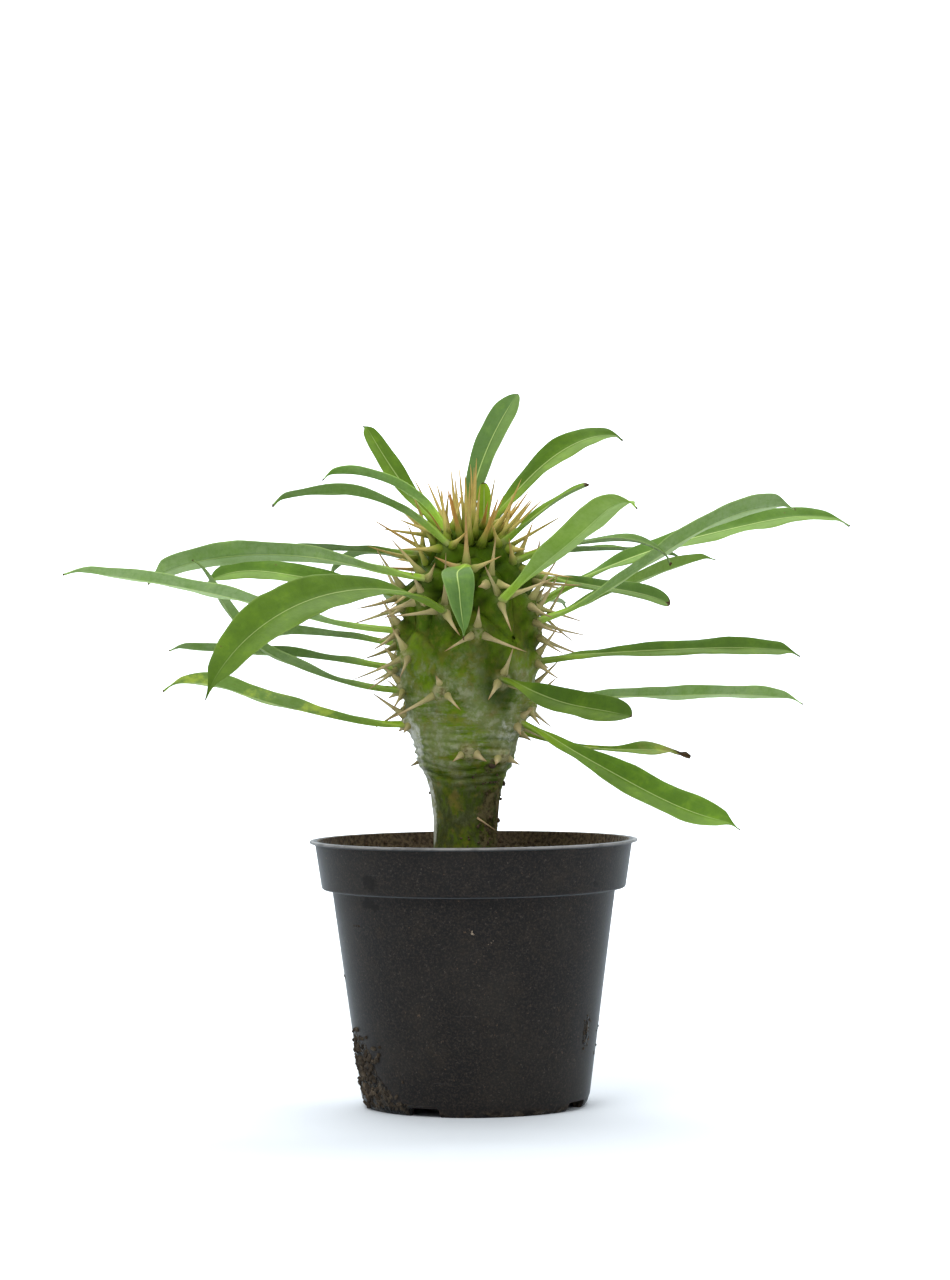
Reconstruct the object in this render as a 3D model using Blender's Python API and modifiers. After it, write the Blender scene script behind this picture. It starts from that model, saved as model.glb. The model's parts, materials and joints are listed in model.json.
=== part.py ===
"""A young Madagascar palm in a round nursery pot, in metres, +Z up.

The origin is the middle of the pot's foot, on the surface that the pot stands on. X runs to the right of
the front view and Y away from the viewer. Headings are in degrees, anticlockwise from +X as seen from
above, so 180 points left and 270 points at the viewer. Slopes are in degrees above the level.
"""

import math
import random
from dataclasses import dataclass

import bmesh
import bpy
from mathutils import Vector, noise

MM = 0.001
SEAT_GAP = 0.3 * MM
LEAF_GAP = 0.45 * MM
MERGE = 0.02 * MM

# Pot: a thin-walled moulded nursery pot, 106 mm across its lip
POT_STEPS = 48
POT_HEIGHT = 86 * MM
LIP_RADIUS = 53.2 * MM
LIP_DEPTH = 1.1 * MM
BAND_TOP_RADIUS = 51.4 * MM
BAND_FOOT_RADIUS = 49.3 * MM
BAND_HEIGHT = 15.7 * MM
BODY_TOP_RADIUS = 45.9 * MM
BODY_FOOT_RADIUS = 37.1 * MM
FOOT_OUTER_RADIUS = 35.4 * MM
FOOT_INNER_RADIUS = 32.8 * MM
CORNER_HEIGHT = 3.8 * MM
WALL = 1.3 * MM
FLOOR_RISE = 3.0 * MM
FLOOR_TOP = FLOOR_RISE + 1.5 * MM
NOTCH_WIDTH = 11 * MM
NOTCH_HEIGHT = 2.8 * MM
NOTCH_HEADINGS = (243, 333, 63, 153)
DRAIN_RADIUS = 3.5 * MM
DRAIN_REACH = 24 * MM

# Soil: fills the pot to a little under the rim
SOIL_STEPS = 48
SOIL_LEVEL = 79 * MM
SOIL_LUMP = 1.1 * MM

# Stem: a club-shaped trunk whose foot stands in a plain hole in the soil
STEM_STEPS = 48
STEM_OFFSET = -2.6 * MM
STEM_LEAN = 2.2 * MM
STEM_FOOT = 52 * MM
STEM_OUTLINE = (
    (0.0, 187.0),
    (4.6, 186.3),
    (8.8, 184.5),
    (12.5, 181.8),
    (15.6, 178.4),
    (18.4, 174.6),
    (20.4, 169.8),
    (21.4, 164.0),
    (21.9, 157.5),
    (22.3, 151.0),
    (22.2, 144.5),
    (21.6, 138.0),
    (20.4, 131.5),
    (19.1, 126.0),
    (17.8, 121.0),
    (16.6, 115.5),
    (15.2, 110.5),
    (13.1, 106.5),
    (11.7, 101.5),
    (10.7, 95.0),
    (10.3, 84.0),
    (9.9, 66.0),
    (8.8, 52.0),
)
STEM_HOLE_RADIUS = 10.7 * MM
TUBERCLE_HEIGHT = 3.4 * MM
TUBERCLE_RADIUS = 5.6 * MM

# Spines: in threes round each leaf scar, and a tuft on the crown
SPINE_SIDES = 3
SPINE_ROOT_RADIUS = 1.0 * MM
SPINE_SINK = 2.2 * MM
SPINE_SPREAD = 2.7 * MM
SPINE_LEAN = 52
SPINE_LENGTHS = (12.5 * MM, 18.5 * MM)
LOW_SPINE_SHARE = 0.32
SPINES_SHORT_BELOW = 104 * MM
SPINES_FULL_ABOVE = 147 * MM
SPINE_SEED = 11
TUFT_SPINES = 37
TUFT_LENGTHS = (18 * MM, 23.5 * MM)
GOLDEN_ANGLE = 137.508
SCAR_SPACING = 12.5 * MM
LEAF_CLEAR = 2.9 * MM
SCAR_TOP = 172 * MM
SCAR_FOOT = 113 * MM
SCAR_FREE = (162, 378)

# Leaves: strap-shaped blades on short stalks
LEAF_ROWS = 12
LEAF_SINK = 2.0 * MM
BLADE_THICKNESS = 0.7 * MM
STALK_THICKNESS = 2.2 * MM
STALK_WIDTH = 3.4 * MM
STALK_SHARE = 0.14
TIP_WIDTH = 0.8 * MM
FOLD = 20
RIPPLE = 0.35 * MM


@dataclass
class Leaf:
    """One leaf: where it leaves the stem, how its centre line runs, and the blade's size in mm.

    headings and slopes are read evenly from the foot of the leaf to its tip. A positive roll turns the
    upper face to the right of the way that the leaf points. A blunt leaf has a higher bluntness, and
    widest is where along it the blade is widest. The two lower spines of its scar stand at the splay, in
    degrees, from the way that it grows.
    """

    name: str
    foot: tuple
    headings: tuple
    slopes: tuple
    length: float
    width: float
    roll: float = 0.0
    bluntness: float = 2.0
    widest: float = 0.62
    splay: float = 62


LEAVES = (
    Leaf("leaf_left_1", (190, 154), (206, 206, 200), (4, 14, 10, 6), 112, 8.2, 25, 6.0),
    Leaf("leaf_left_2", (227, 170), (190, 170, 168), (9, 13, 3, -8, -24), 90, 10.4, 45, 5.0, 0.72),
    Leaf("leaf_left_3", (160, 177), (165, 172, 175), (6, 1, -6), 58, 8.0, 10, 4.0),
    Leaf("leaf_left_4", (172, 165.5), (178, 180, 180), (13, 9, 7, -25), 63, 11.5, -40, 4.0),
    Leaf("leaf_left_5", (163, 150), (170, 172, 172), (10, 4, -5), 50, 7.5, 22, 3.0),
    Leaf("leaf_left_6", (187, 142.5), (187, 187, 185), (9, 7, 3, 8), 71, 7.5, 24, 4.0),
    Leaf("leaf_left_7", (197, 135.5), (192, 192, 188), (5, 16, 28, 58, 55), 82, 6.8, 24),
    Leaf("leaf_left_8", (193, 124.5), (190, 188, 186), (0, 11, 15, 17, -14), 78, 10.8, 25, 4.5),
    Leaf("leaf_front_1", (249, 160.5), (231, 222, 214), (22, 4, -12, -33, -57), 107, 17.0, -40, 2.6),
    Leaf(
        "leaf_front_2", (268, 172.5), (268, 250, 268, 292, 300, 302), (-8, -10, -24, -78, -76, -74), 33, 10.8,
        widest=0.5, splay=98
    ),
    Leaf("leaf_front_3", (299, 164), (305, 309, 313), (30, 27, 26, 28, 27, -10), 70, 12.4, -15, 6.0),
    Leaf("leaf_front_4", (301, 138), (316, 320, 324), (-16, -17, -8, -10), 51, 11.0, 45, 9.0, 0.54),
    Leaf("leaf_right_1", (15, 162.5), (24, 28, 28), (29, 20, 13, 9, -8), 124, 11.0, 34, 3.0),
    Leaf("leaf_right_2", (345, 157), (-5, 6, 10), (18, 33, 27, 2), 91, 10.5, -35, 6.0, 0.85),
    Leaf("leaf_right_3", (38, 155), (18, 15, 15), (20, 22, 14), 68.5, 8.8, -32, 4.0, 0.7),
    Leaf("leaf_right_4", (8, 170), (8, 8, 8), (-9, -10, -10, -22), 44, 8.4, 40, 8.0, 0.7),
    Leaf("leaf_right_5", (325, 175), (-10, -4, -2), (24, 9, -2, -40), 50, 8.0, 10, 4.0),
    Leaf("leaf_right_6", (45, 176), (30, 25, 22), (6, 2, -10), 64, 6.0, 0, 4.0),
    Leaf("leaf_right_7", (350, 144), (-2, -2, -2), (8, 3, 1, -6), 82, 8.0, 45, 8.0, 0.7),
    Leaf("leaf_right_8", (15, 133.5), (10, 8, 8), (-3, 0, 0, -8), 88, 7.2, -40, 4.0),
    Leaf("leaf_right_9", (333, 124), (335, 335, 337), (-27, -27, -24, -10), 79, 12.8, 40, 4.5),
    Leaf("leaf_right_10", (30, 121.5), (15, 15, 15), (-20, -11, -1, -10), 59, 6.8, 32, 2.0, 0.78),
    Leaf("leaf_crown_1", (240, 180.5), (195, 186, 184), (42, 26, 2, -14), 59, 9.2, 18, 5.0),
    Leaf("leaf_crown_2", (220, 184.3), (196, 190, 188), (58, 35, 14, -8), 45, 8.8, 13, 5.0),
    Leaf("leaf_crown_3", (172, 184.4), (152, 148, 145), (45, 51, 56), 45, 7.2, -40, 4.0),
    Leaf("leaf_crown_4", (95, 185.8), (50, 36, 34), (78, 64, 52), 48, 10.4, 25, 6.0),
    Leaf("leaf_crown_5", (20, 185.6), (30, 30, 28), (50, 42, 26, -2), 60, 10.5, 35, 4.0),
    Leaf("leaf_crown_6", (332, 186.3), (60, 80, 80), (84, 88, 86), 12, 4.6, 0, 3.5),
    Leaf("leaf_crown_7", (318, 180.5), (-15, -10, -10), (39, 36, 20), 32, 6.2, 18, 12.0),
    Leaf("leaf_back_1", (130, 174), (130, 128, 128), (12, 4, -32), 56, 8.5),
    Leaf("leaf_back_2", (62, 160), (74, 72, 70), (8, 3, -4), 72, 9.5, 10),
    Leaf("leaf_back_3", (95, 170), (95, 97, 98), (26, 8, -24), 69, 10.5),
    Leaf("leaf_back_4", (118, 158), (108, 104, 100), (18, 8, -12), 70, 10.0, -10),
    Leaf("leaf_back_5", (80, 147), (80, 78, 76), (8, 2, -30), 66, 9.5, 10),
    Leaf("leaf_back_6", (125, 139), (112, 100, 92), (6, 4, -14), 70, 9.0, -10),
    Leaf("leaf_back_7", (100, 131), (98, 100, 102), (-4, -10, -22), 62, 10.5),
    Leaf("leaf_back_8", (75, 124), (84, 88, 90), (-8, -14, -20), 62, 9.5, 15),
)

# Leaf scars without a leaf where the front shows them: the heading, the height in mm, and how long the
# upper, the right and the left spine are next to the usual
BARE_SCARS = (
    (290, 169, (0.95, 0.5, 0.35)),
    (227, 164, (0.5, 0.3, 0.9)),
    (197, 162, (1.0, 1.0, 1.0)),
    (338, 162, (1.0, 1.0, 1.0)),
    (278, 153, (0.5, 1.05, 0.85)),
    (354, 152, (1.05, 1.15, 1.0)),
    (211, 146, (0.6, 1.0, 1.3)),
    (248, 134.5, (0.25, 0.75, 1.15)),
    (352, 129, (0.9, 1.0, 0.7)),
    (273, 115.5, (0.0, 0.7, 0.7)),
    (313, 114, (0.0, 0.8, 0.5)),
)

# The same three shares for the scars of some leaves. A share of 0 leaves a spine out
LEAF_SPINES = {
    "leaf_front_2": (1.0, 0.6, 0.6),
    "leaf_left_1": (0.6, 1.15, 0.5),
    "leaf_left_4": (0.9, 1.0, 0.35),
    "leaf_left_6": (0.35, 1.2, 0.7),
    "leaf_left_7": (0.5, 1.1, 0.35),
    "leaf_left_8": (1.25, 0.5, 0.35),
    "leaf_right_1": (0.9, 0.35, 1.0),
    "leaf_right_3": (0.5, 0.35, 0.8),
    "leaf_right_7": (0.8, 0.3, 1.0),
    "leaf_right_8": (1.0, 0.35, 0.4),
    "leaf_right_9": (0.5, 0.9, 0.6),
    "leaf_right_10": (0.5, 0.35, 0.5),
    "leaf_crown_7": (0.8, 1.0, 0.35),
}
USUAL_SPINES = (0.8, 1.0, 1.0)


def along(values, t):
    """The smooth curve through evenly spaced values, read at t from 0 to 1."""
    last = len(values) - 1
    place = min(max(t, 0.0), 1.0) * last
    i = min(int(place), last - 1)
    f = place - i
    before = values[max(i - 1, 0)]
    after = values[min(i + 2, last)]
    a, b = values[i], values[i + 1]
    bend = 2 * before - 5 * a + 4 * b - after
    turn = 3 * (a - b) + after - before
    return a + 0.5 * f * (b - before + f * (bend + f * turn))


def ease(x):
    """A smooth step from 0 to 1."""
    x = min(max(x, 0.0), 1.0)
    return x * x * (3 - 2 * x)


def level(heading):
    """The level unit vector of a heading."""
    turn = math.radians(heading)
    return Vector((math.cos(turn), math.sin(turn), 0))


def direction(heading, slope):
    """The unit vector of a heading and a slope."""
    rise = math.radians(slope)
    return level(heading) * math.cos(rise) + Vector((0, 0, math.sin(rise)))


def material(name, colour, roughness, metallic=0.0):
    """A plain Principled material."""
    made = bpy.data.materials.new(name)
    made.use_nodes = True
    made.diffuse_color = (*colour, 1)
    shader = made.node_tree.nodes["Principled BSDF"]
    shader.inputs["Base Color"].default_value = (*colour, 1)
    shader.inputs["Roughness"].default_value = roughness
    shader.inputs["Metallic"].default_value = metallic
    return made


def add_object(name, mesh, collection, finish=None):
    """A new object for the mesh, in the collection."""
    made = bpy.data.objects.new(name, mesh)
    collection.objects.link(made)
    if finish:
        mesh.materials.append(finish)
    return made


def hide_helper(helper):
    """Keeps a cutter or other helper out of the render."""
    helper.hide_render = True
    helper.display_type = "WIRE"
    return helper


def mesh_from(bm, name):
    """A mesh made from the bmesh, which is then freed."""
    mesh = bpy.data.meshes.new(name)
    bm.to_mesh(mesh)
    bm.free()
    return mesh


def turned(name, profile, steps, collection, finish=None):
    """A profile of (radius, height) points turned round Z. It runs down the outer side."""
    bm = bmesh.new()
    points = [bm.verts.new((radius, 0, height)) for radius, height in profile]
    for upper, lower in zip(points, points[1:]):
        bm.edges.new((upper, lower))
    made = add_object(name, mesh_from(bm, name), collection, finish)
    screw = made.modifiers.new("Turn", "SCREW")
    screw.axis = "Z"
    screw.steps = screw.render_steps = steps
    screw.use_merge_vertices = True
    screw.merge_threshold = MERGE
    screw.use_smooth_shade = True
    return made


def realise(obj):
    """Replaces the object's mesh by what its modifiers make of it."""
    bpy.context.view_layer.update()
    graph = bpy.context.evaluated_depsgraph_get()
    mesh = bpy.data.meshes.new_from_object(obj.evaluated_get(graph))
    mesh.name = obj.data.name
    obj.modifiers.clear()
    obj.data = mesh
    return obj


def boolean(obj, operation, name, other=None, group=None, solver="EXACT"):
    """A Boolean modifier with one object or with a collection."""
    cut = obj.modifiers.new(name, "BOOLEAN")
    cut.operation = operation
    cut.solver = solver
    if group:
        cut.operand_type = "COLLECTION"
        cut.collection = group
    else:
        cut.object = other
    return cut


def pot_wall():
    """The pot's inner wall, (radius, height), from the floor up to the lip."""
    band_foot = POT_HEIGHT - BAND_HEIGHT
    return [
        (BODY_FOOT_RADIUS - WALL - 0.5 * MM, FLOOR_TOP),
        (BODY_TOP_RADIUS - WALL, band_foot),
        (BAND_FOOT_RADIUS - WALL, band_foot + WALL),
        (BAND_TOP_RADIUS - WALL, POT_HEIGHT - LIP_DEPTH),
        (BAND_TOP_RADIUS - WALL, POT_HEIGHT),
    ]


def pot_outline():
    """The pot's whole profile: floor, inner wall, lip, outer side, foot and underside."""
    band_foot = POT_HEIGHT - BAND_HEIGHT
    outer = [
        (LIP_RADIUS, POT_HEIGHT),
        (LIP_RADIUS, POT_HEIGHT - LIP_DEPTH),
        (BAND_TOP_RADIUS, POT_HEIGHT - LIP_DEPTH - 0.3 * MM),
        (BAND_FOOT_RADIUS, band_foot + 0.4 * MM),
        (BAND_FOOT_RADIUS - 0.5 * MM, band_foot),
        (BODY_TOP_RADIUS, band_foot - 0.5 * MM),
        (BODY_FOOT_RADIUS, CORNER_HEIGHT),
        (BODY_FOOT_RADIUS - 0.8 * MM, CORNER_HEIGHT * 0.35),
        (FOOT_OUTER_RADIUS, 0),
        (FOOT_INNER_RADIUS, 0),
        (FOOT_INNER_RADIUS - 0.3 * MM, FLOOR_RISE),
        (0, FLOOR_RISE),
    ]
    return [(0, FLOOR_TOP), *pot_wall(), *outer]


def make_pot(parts, cutters):
    """The pot, with notches in its foot and drain holes in its floor."""
    plastic = material("pot_plastic", (0.028, 0.029, 0.033), 0.5)
    pot = turned("pot", pot_outline(), POT_STEPS, parts, plastic)
    reach = (FOOT_OUTER_RADIUS + FOOT_INNER_RADIUS) / 2
    for number, heading in enumerate(NOTCH_HEADINGS, 1):
        bm = bmesh.new()
        bmesh.ops.create_cube(bm, size=1)
        bmesh.ops.scale(bm, vec=(12 * MM, NOTCH_WIDTH, 2 * NOTCH_HEIGHT), verts=bm.verts)
        notch = add_object(f"notch_{number}", mesh_from(bm, "notch"), cutters)
        notch.location = level(heading) * reach
        notch.rotation_euler.z = math.radians(heading)
        boolean(pot, "DIFFERENCE", notch.name, hide_helper(notch))
        bm = bmesh.new()
        bmesh.ops.create_cone(
            bm, cap_ends=True, segments=16, radius1=DRAIN_RADIUS, radius2=DRAIN_RADIUS, depth=6 * MM
        )
        drain = add_object(f"drain_{number}", mesh_from(bm, "drain"), cutters)
        drain.location = level(heading + 45) * DRAIN_REACH + Vector((0, 0, FLOOR_TOP))
        boolean(pot, "DIFFERENCE", drain.name, hide_helper(drain))
    return pot


def stem_shift(height):
    """How far the stem's middle lies along X from the pot's axis at a height."""
    share = max(height - SOIL_LEVEL, 0) / (STEM_OUTLINE[0][1] * MM - SOIL_LEVEL)
    return Vector((STEM_OFFSET + STEM_LEAN * share**1.5, 0, 0))


def make_soil(parts, cutters):
    """The soil: a lumpy-topped plug that follows the pot's wall, with the stem's hole in it."""
    wall = [(radius - SEAT_GAP, height) for radius, height in pot_wall()[:3]]
    band_slope = (BAND_TOP_RADIUS - BAND_FOOT_RADIUS) / BAND_HEIGHT
    edge = BAND_FOOT_RADIUS - WALL - SEAT_GAP
    edge += (SOIL_LEVEL - POT_HEIGHT + BAND_HEIGHT - WALL) * band_slope - 0.1 * MM
    rings = 8
    top = [(edge * ring / rings, SOIL_LEVEL) for ring in range(rings)]
    side = [(edge, SOIL_LEVEL - 1.5 * MM)] + list(reversed(wall))
    foot = FLOOR_TOP + SEAT_GAP
    side[-1] = (side[-1][0], foot)
    earth = material("soil", (0.05, 0.03, 0.018), 0.95)
    soil = realise(turned("soil", [*top, *side, (0, foot)], SOIL_STEPS, parts, earth))
    for vertex in soil.data.vertices:
        if vertex.co.z > SOIL_LEVEL - 1 * MM:
            vertex.co.z += SOIL_LUMP * noise.noise(vertex.co * 90)
    bm = bmesh.new()
    depth = SOIL_LEVEL - STEM_FOOT + 20 * MM
    bmesh.ops.create_cone(
        bm,
        cap_ends=True,
        segments=32,
        radius1=STEM_HOLE_RADIUS,
        radius2=STEM_HOLE_RADIUS,
        depth=depth,
    )
    hole = add_object("stem_hole", mesh_from(bm, "stem_hole"), cutters)
    hole.location = stem_shift(0) + Vector((0, 0, STEM_FOOT - SEAT_GAP + depth / 2))
    boolean(soil, "DIFFERENCE", "stem_hole", hide_helper(hole))
    return soil


def stem_outline():
    """The stem's profile without its tubercles, (radius, height), crown first, with rings close enough
    above the waist to carry the tubercles."""
    radii = [radius for radius, _ in STEM_OUTLINE]
    heights = [height for _, height in STEM_OUTLINE]
    steps = 40
    points = []
    for step in range(steps + 1):
        t = (step / steps) ** 1.12
        points.append((along(radii, t) * MM, along(heights, t) * MM))
    points[0] = (0, points[0][1])
    return points


def stem_radius(height, outline):
    """The stem's radius at a height, and how fast it grows with height."""
    for (upper_r, upper_z), (lower_r, lower_z) in zip(outline, outline[1:]):
        if lower_z <= height <= upper_z:
            growth = (upper_r - lower_r) / (upper_z - lower_z)
            return lower_r + growth * (height - lower_z), growth
    return 0.0, 0.0


@dataclass
class Scar:
    """A leaf scar: its middle on the stem, the way out of the stem, and the two ways along it."""

    middle: Vector
    out: Vector
    side: Vector
    up: Vector


def scar_at(heading, height, outline):
    """The scar at a heading and a height on the stem."""
    radius, growth = stem_radius(height, outline)
    middle = stem_shift(height) + level(heading) * radius + Vector((0, 0, height))
    out = (level(heading) - Vector((0, 0, growth))).normalized()
    side = level(heading + 90)
    return Scar(middle, out, side, side.cross(out) * -1)


def bare_scars(outline, taken):
    """The scars without a leaf: those seen from the front, and a spiral that fills the sides and back."""
    scars = [scar_at(heading, height * MM, outline) for heading, height, _ in BARE_SCARS]
    count = 150
    for number in range(count):
        height = SCAR_FOOT + (SCAR_TOP - SCAR_FOOT) * number / (count - 1)
        scar = scar_at(number * GOLDEN_ANGLE, height, outline)
        nearest = min((scar.middle - other.middle).length for other in taken + scars)
        in_front = (number * GOLDEN_ANGLE - SCAR_FREE[0]) % 360 < SCAR_FREE[1] - SCAR_FREE[0]
        if nearest > SCAR_SPACING and not in_front:
            scars.append(scar)
    return scars


def raise_tubercles(mesh, scars):
    """Lifts the stem's surface into a cone under each scar."""
    for vertex in mesh.vertices:
        lift = Vector((0, 0, 0))
        for scar in scars:
            share = 1 - (vertex.co - scar.middle).length / TUBERCLE_RADIUS
            if share > 0:
                lift += scar.out * TUBERCLE_HEIGHT * share**1.5
        if lift.length > TUBERCLE_HEIGHT:
            lift *= TUBERCLE_HEIGHT / lift.length
        vertex.co += lift


def add_spine(root, way, length, grow, collection):
    """One spine: a slim three-sided cone whose root is sunk into the stem. A grown one is that much
    clear of it on each flat side."""
    bm = bmesh.new()
    bmesh.ops.create_cone(
        bm,
        cap_ends=True,
        segments=SPINE_SIDES,
        radius1=SPINE_ROOT_RADIUS + 2 * grow,
        radius2=2 * grow,
        depth=length + SPINE_SINK + grow,
    )
    spine = add_object("spine", mesh_from(bm, "spine"), collection)
    spine.location = root + way * (length - SPINE_SINK + grow) / 2
    spine.rotation_mode = "QUATERNION"
    spine.rotation_quaternion = way.to_track_quat("Z", "Y")


def spine_triad(scar, leaf_way, splay, shares, dice, grow, collection):
    """Three spines round a scar, turned so that the leaf passes between two of them. The shares are how
    long the upper, the right and the left one are next to the usual."""
    across = leaf_way.dot(scar.side)
    upward = leaf_way.dot(scar.up)
    leaf_angle = -90.0
    if math.hypot(across, upward) > 0.3:
        leaf_angle = math.degrees(math.atan2(upward, across))
    for turn, usual in zip((180, splay, -splay), shares):
        if not usual:
            continue
        angle = math.radians(leaf_angle + turn)
        spread = scar.side * math.cos(angle) + scar.up * math.sin(angle)
        lean = math.radians(SPINE_LEAN + dice.uniform(-6, 6))
        way = scar.out * math.cos(lean) + spread * math.sin(lean)
        root = scar.middle + spread * SPINE_SPREAD + scar.out * TUBERCLE_HEIGHT * 0.45
        climb = (scar.middle.z - SPINES_SHORT_BELOW) / (SPINES_FULL_ABOVE - SPINES_SHORT_BELOW)
        length = dice.uniform(*SPINE_LENGTHS) * usual
        length *= LOW_SPINE_SHARE + (1 - LOW_SPINE_SHARE) * ease(climb)
        add_spine(root, way, length, grow, collection)


def meets_leaf(root, way, length, scars):
    """Whether a spine would run into the middle of a leaf's nearer half."""
    for leaf, scar in zip(LEAVES, scars):
        middle = [spot for spot, _, _ in leaf_middle(leaf, scar)]
        for step in range(2 * LEAF_ROWS):
            spot = along(middle, step / (4 * LEAF_ROWS)) - root
            share = min(max(spot.dot(way) / length, 0), 1)
            if (spot - way * length * share).length < LEAF_CLEAR:
                return True
    return False


def crown_tuft(scars, outline, dice, grow, collection):
    """The long spines of the crown, on a spiral round its middle, where no leaf is in their way."""
    for number in range(TUFT_SPINES):
        share = math.sqrt((number + 0.5) / TUFT_SPINES)
        height = STEM_OUTLINE[0][1] * MM - 5.0 * MM * share**2
        heading = number * GOLDEN_ANGLE + 20
        scar = scar_at(heading, height, outline)
        way = (level(heading) * (0.06 + 1.15 * share**2) + Vector((0, 0, 1))).normalized()
        length = dice.uniform(*TUFT_LENGTHS) * (1.02 - 0.1 * share)
        if not meets_leaf(scar.middle, way, length, scars):
            add_spine(scar.middle, way, length, grow, collection)


def fuse_spines(body, scars, outline, grow):
    """Joins the spines of every scar and of the crown to the body in one union."""
    spines = bpy.data.collections.new("spines")
    bpy.context.scene.collection.children.link(spines)
    for number, scar in enumerate(scars):
        dice = random.Random(SPINE_SEED + number)
        leaf_way, splay, shares = Vector((0, 0, 0)), 62, USUAL_SPINES
        bare = number - len(LEAVES)
        if bare < 0:
            leaf = LEAVES[number]
            leaf_way, splay = direction(leaf.headings[0], leaf.slopes[0]), leaf.splay
            shares = LEAF_SPINES.get(leaf.name, USUAL_SPINES)
        elif bare < len(BARE_SCARS):
            shares = BARE_SCARS[bare][2]
        spine_triad(scar, leaf_way, splay, shares, dice, grow, spines)
    crown_tuft(scars, outline, random.Random(SPINE_SEED), grow, spines)
    boolean(body, "UNION", "spines", group=spines, solver="MANIFOLD")
    realise(body)
    for spine in list(spines.objects):
        bpy.data.objects.remove(spine)
    bpy.data.collections.remove(spines)


def make_stem(parts, cutters):
    """The stem with its tubercles and spines in one body, and its clearance, which trims the leaves."""
    outline = stem_outline()
    bark = material("stem_skin", (0.19, 0.22, 0.11), 0.75)
    stem = realise(turned("stem", [*outline, (0, STEM_FOOT)], STEM_STEPS, parts, bark))
    leaf_scars = [scar_at(leaf.foot[0], leaf.foot[1] * MM, outline) for leaf in LEAVES]
    scars = leaf_scars + bare_scars(outline, leaf_scars)
    for vertex in stem.data.vertices:
        vertex.co += stem_shift(vertex.co.z)
    raise_tubercles(stem.data, scars)

    clearance = add_object("stem_clearance", stem.data.copy(), cutters)
    for vertex, normal in zip(clearance.data.vertices, stem.data.vertex_normals):
        vertex.co += normal.vector * LEAF_GAP
    fuse_spines(stem, scars, outline, 0)
    fuse_spines(hide_helper(clearance), scars, outline, SEAT_GAP)
    return clearance, leaf_scars


def half_width(leaf, t):
    """Half the leaf's width at t, from the stalk over the widest place to the pointed tip."""
    blade = leaf.width * MM
    stalk = min(STALK_WIDTH, blade)
    start = STALK_SHARE * 0.4
    if t < leaf.widest:
        share = ease((t - start) / (leaf.widest - start)) ** 0.8
        return (stalk + (blade - stalk) * share) / 2
    share = 1 - ((t - leaf.widest) / (1 - leaf.widest)) ** leaf.bluntness
    return (TIP_WIDTH + (blade - TIP_WIDTH) * share) / 2


def leaf_middle(leaf, scar):
    """The leaf's centre line: a point and the heading and slope there, for each row."""
    step = (leaf.length * MM + LEAF_SINK) / LEAF_ROWS
    spot = scar.middle + scar.out * TUBERCLE_HEIGHT
    spot -= direction(leaf.headings[0], leaf.slopes[0]) * LEAF_SINK
    rows = []
    for row in range(LEAF_ROWS + 1):
        t = row / LEAF_ROWS
        rows.append((spot.copy(), along(leaf.headings, t), along(leaf.slopes, t)))
        between = t + 0.5 / LEAF_ROWS
        spot += direction(along(leaf.headings, between), along(leaf.slopes, between)) * step
    return rows


def make_leaf(leaf, scar, clearance, finish, parts):
    """One leaf: a folded strip laid along its centre line, thickened, and trimmed to the stem."""
    bm = bmesh.new()
    bmesh.ops.create_grid(bm, x_segments=2, y_segments=LEAF_ROWS, size=1)
    rows = leaf_middle(leaf, scar)
    stalkiness = {}
    for vertex in bm.verts:
        across, t = round(vertex.co.x), (vertex.co.y + 1) / 2
        spot, heading, slope = rows[round(t * LEAF_ROWS)]
        roll = math.radians(leaf.roll) * ease(t / 0.35)
        side = level(heading - 90)
        up = side.cross(direction(heading, slope))
        side, up = side * math.cos(roll) - up * math.sin(roll), up * math.cos(roll) + side * math.sin(roll)
        fold = math.radians(FOLD) * ease(t / 0.3)
        half = half_width(leaf, t)
        vertex.co = spot + side * across * half * math.cos(fold) + up * abs(across) * half * math.sin(fold)
        vertex.co += up * abs(across) * RIPPLE * math.sin(t * leaf.length / 4 + across)
        stalkiness[vertex.index] = 1 - ease(t / (2 * STALK_SHARE))
    for face in list(bm.faces):
        by_row = sorted(face.verts, key=lambda v: v.index)
        ends = [v for v in by_row if v.index % 3 == 1], [v for v in by_row if v.index % 3 != 1]
        bmesh.ops.connect_verts(bm, verts=[ends[0][0], ends[1][1]])
    mesh = mesh_from(bm, leaf.name)
    made = add_object(leaf.name, mesh, parts, finish)
    group = made.vertex_groups.new(name="stalk")
    for index, weight in stalkiness.items():
        group.add([index], weight, "REPLACE")
    thick = made.modifiers.new("Thickness", "SOLIDIFY")
    thick.thickness = STALK_THICKNESS
    thick.offset = 0
    thick.use_even_offset = True
    thick.vertex_group = "stalk"
    thick.thickness_vertex_group = BLADE_THICKNESS / STALK_THICKNESS
    boolean(made, "DIFFERENCE", "stem_clearance", clearance)
    return made


def main():
    for old in list(bpy.data.objects):
        bpy.data.objects.remove(old)
    parts = bpy.data.collections.new("potted_madagascar_palm")
    cutters = bpy.data.collections.new("cutters")
    for collection in (parts, cutters):
        bpy.context.scene.collection.children.link(collection)
    make_pot(parts, cutters)
    make_soil(parts, cutters)
    clearance, scars = make_stem(parts, cutters)
    blade = material("leaf_blade", (0.10, 0.23, 0.06), 0.45)
    for leaf, scar in zip(LEAVES, scars):
        make_leaf(leaf, scar, clearance, blade, parts)


main()
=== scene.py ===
"""The looks of a young Madagascar palm in a round nursery pot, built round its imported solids.

Everything is in metres in the frame of the solids: +Z up, X to the right of the front view and Y away
from the viewer. Headings are in degrees, anticlockwise from +X as seen from above. Slopes are in degrees
above the level.
"""

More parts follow.
